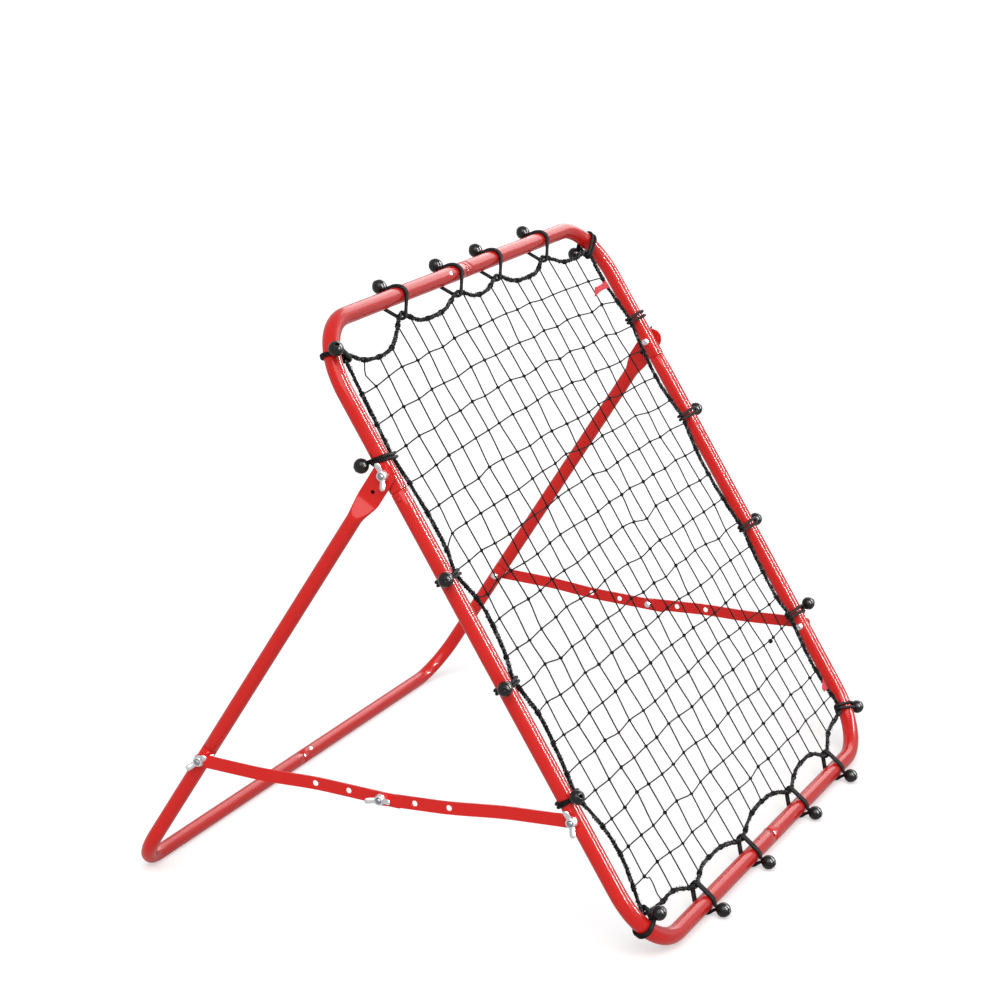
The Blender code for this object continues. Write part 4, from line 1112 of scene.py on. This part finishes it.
# A knot is two small hitches, one round each twine
one_knot = bmesh.new()
hitch = [(TWINE_R + HITCH_R * (0.7 + math.cos(turn)), HITCH_R * math.sin(turn))
         for turn in (math.pi / 2 * corner for corner in range(5))]
for axis, lean in (("Y", 0.5), ("X", -0.5)):
    lathe(one_knot, Matrix.Rotation(lean, 4, "Z") @ Matrix.Rotation(math.pi / 2, 4, axis),
          hitch, 8)
pattern = bpy.data.meshes.new("one_knot")
one_knot.to_mesh(pattern)
one_knot.free()
bm = bmesh.new()
plane = Matrix((ACROSS, SLOPE, FRONT)).transposed().to_4x4()
for point in (*crossings.values(), BLOB, BLOB):
    before = len(bm.verts)
    bm.from_mesh(pattern)
    bm.verts.ensure_lookup_table()
    turn = Matrix.Rotation(rng.uniform(-0.5, 0.5), 4, "Z") @ Matrix.Rotation(
        rng.choice((0, math.pi)), 4, "Y")
    size = Matrix.Scale(BLOB_SIZE if point == BLOB else rng.uniform(*KNOT_SIZES), 4)
    bmesh.ops.transform(bm, matrix=Matrix.Translation(net_point(*point)) @ plane @ turn @ size,
                        verts=bm.verts[before:])
go_with_frame(add_piece("net_knots", bm, TWINE, sharp=80))


# Ribbon tabs
# Two red ribbons sewn round the border rope at the right, one long and one short.
RIBBON = 0.0006                # thickness

ribbon = Finish("red_ribbon", {"Roughness": 0.72, "Specular IOR Level": 0.2})
warp = (ribbon.lay(0) * 260.0).sine()
weft = (ribbon.lay(1) * 620.0).sine()
RIBBON_CLOTH = ribbon.set(
    base_color=ribbon.blend(warp * weft * 0.5 + 0.5, (0.88, 0.012, 0.034, 1),
                            (0.74, 0.010, 0.026, 1)),
    normal=ribbon.bump(warp * weft, 0.0001, 0.5))


def ribbon_tab(name, root, reach, width, fall, curl, slant=0.0):
    """A strip from the rope, curling to its cut end, which may be cut on a slant."""
    bm = bmesh.new()
    grid = bmesh.ops.create_grid(bm, x_segments=16, y_segments=5, size=0.5)["verts"]
    layer = bm.loops.layers.uv.verify()
    for face in bm.faces:
        for corner in face.loops:
            corner[layer].uv = corner.vert.co.xy + Vector((0.5, 0.5))
    for vert in grid:
        along, across = vert.co.x + 0.5, vert.co.y
        x = root[0] - reach * along + slant * across * along ** 2
        up = root[1] + fall * along ** 1.4 + across * width(along)
        out = 0.0036 + 0.0012 * along + curl * math.sin(along * 5.0) * (0.4 + across)
        vert.co = net_point(x, up, out)
    tab = add_piece(name, bm, RIBBON_CLOTH, sharp=80)
    thick = tab.modifiers.new("thickness", "SOLIDIFY")
    thick.thickness = RIBBON
    thick.offset = 0
    return tab


long_tab = ribbon_tab("ribbon_tab_long", root=(0.4430, 0.8660), reach=0.061,
                      width=lambda along: 0.0152 - 0.022 * along * (1 - along),
                      fall=-0.004, curl=0.0016, slant=0.0229)
stand_for(long_tab, "net_marker_tab")
short_tab = ribbon_tab("ribbon_tab_short", root=(0.4500, 0.1160), reach=0.023,
                       width=lambda along: 0.0205 * (1 - 0.7 * along), fall=-0.006,
                       curl=0.0008)
go_with_frame(short_tab)


# Floor and light
# A pale floor under a wide soft light. Two long strips beside the side tubes draw their twin
# highlights, and a broad panel stands beyond; these three show in reflections alone.
WORLD_LEVEL = 0.45
REFLECTED_LEVEL = 0.65
SUN_FROM = Vector((-2.0, -0.8, 2.2))
floor_finish = Finish("pale_floor", {"Roughness": 1.0, "Specular IOR Level": 0.0,
                                     "Emission Strength": 1.0})
seen = floor_finish.node("LightPath", output="Is Camera Ray")
floor_finish.set(base_color=(0.72, 0.72, 0.72, 1),
                 emission_color=floor_finish.blend(seen, (0, 0, 0, 1), (0.45, 0.45, 0.45, 1)))
bm = bmesh.new()
bmesh.ops.create_grid(bm, x_segments=1, y_segments=1, size=60.0)
floor = add_piece("floor", bm, floor_finish.material)

world = bpy.data.worlds.new("studio")
bpy.context.scene.world = world
world.use_nodes = True
nodes, join = world.node_tree.nodes, world.node_tree.links.new
path = nodes.new("ShaderNodeLightPath")
level = None
for ray, high in (("Is Glossy Ray", REFLECTED_LEVEL), ("Is Camera Ray", 1.0),
                  ("Is Transmission Ray", 1.0)):
    chosen = nodes.new("ShaderNodeMapRange")
    join(path.outputs[ray], chosen.inputs["Value"])
    chosen.inputs["To Min"].default_value = WORLD_LEVEL
    chosen.inputs["To Max"].default_value = high
    if level is not None:
        join(level, chosen.inputs["To Min"])
    level = chosen.outputs["Result"]
nodes["Background"].inputs["Color"].default_value = (1, 1, 1, 1)
join(level, nodes["Background"].inputs["Strength"])


def lit(name, lamp, at, away, beside):
    """Set a lamp at a place, shining against the direction that leads away from its target."""
    light = in_scene(name, lamp)
    light.matrix_world = placed(at, away, beside)
    return light


key = bpy.data.lights.new("wide_light", "SUN")
key.energy = 2.2
key.angle = math.radians(50)
lit("wide_light", key, SUN_FROM, SUN_FROM, ACROSS)
tube_middle = net_point(HALF_W, HEIGHT / 2)
for name, away, distance, size, watts in (
        ("strip_one", (-0.396, -0.776, 0.481), 3.3, (2.8, 0.42), 290),
        ("strip_two", (0.449, -0.753, 0.481), 3.3, (2.8, 0.42), 290),
        ("far_panel", (0.89, 0.085, 0.445), 4.2, (3.0, 3.4), 95)):
    soft = bpy.data.lights.new(name, "AREA")
    soft.shape = "RECTANGLE"
    soft.size, soft.size_y = size
    soft.energy = watts
    away = Vector(away).normalized()
    lamp = lit(name, soft, tube_middle + away * distance, away, SLOPE)
    lamp.visible_diffuse = False
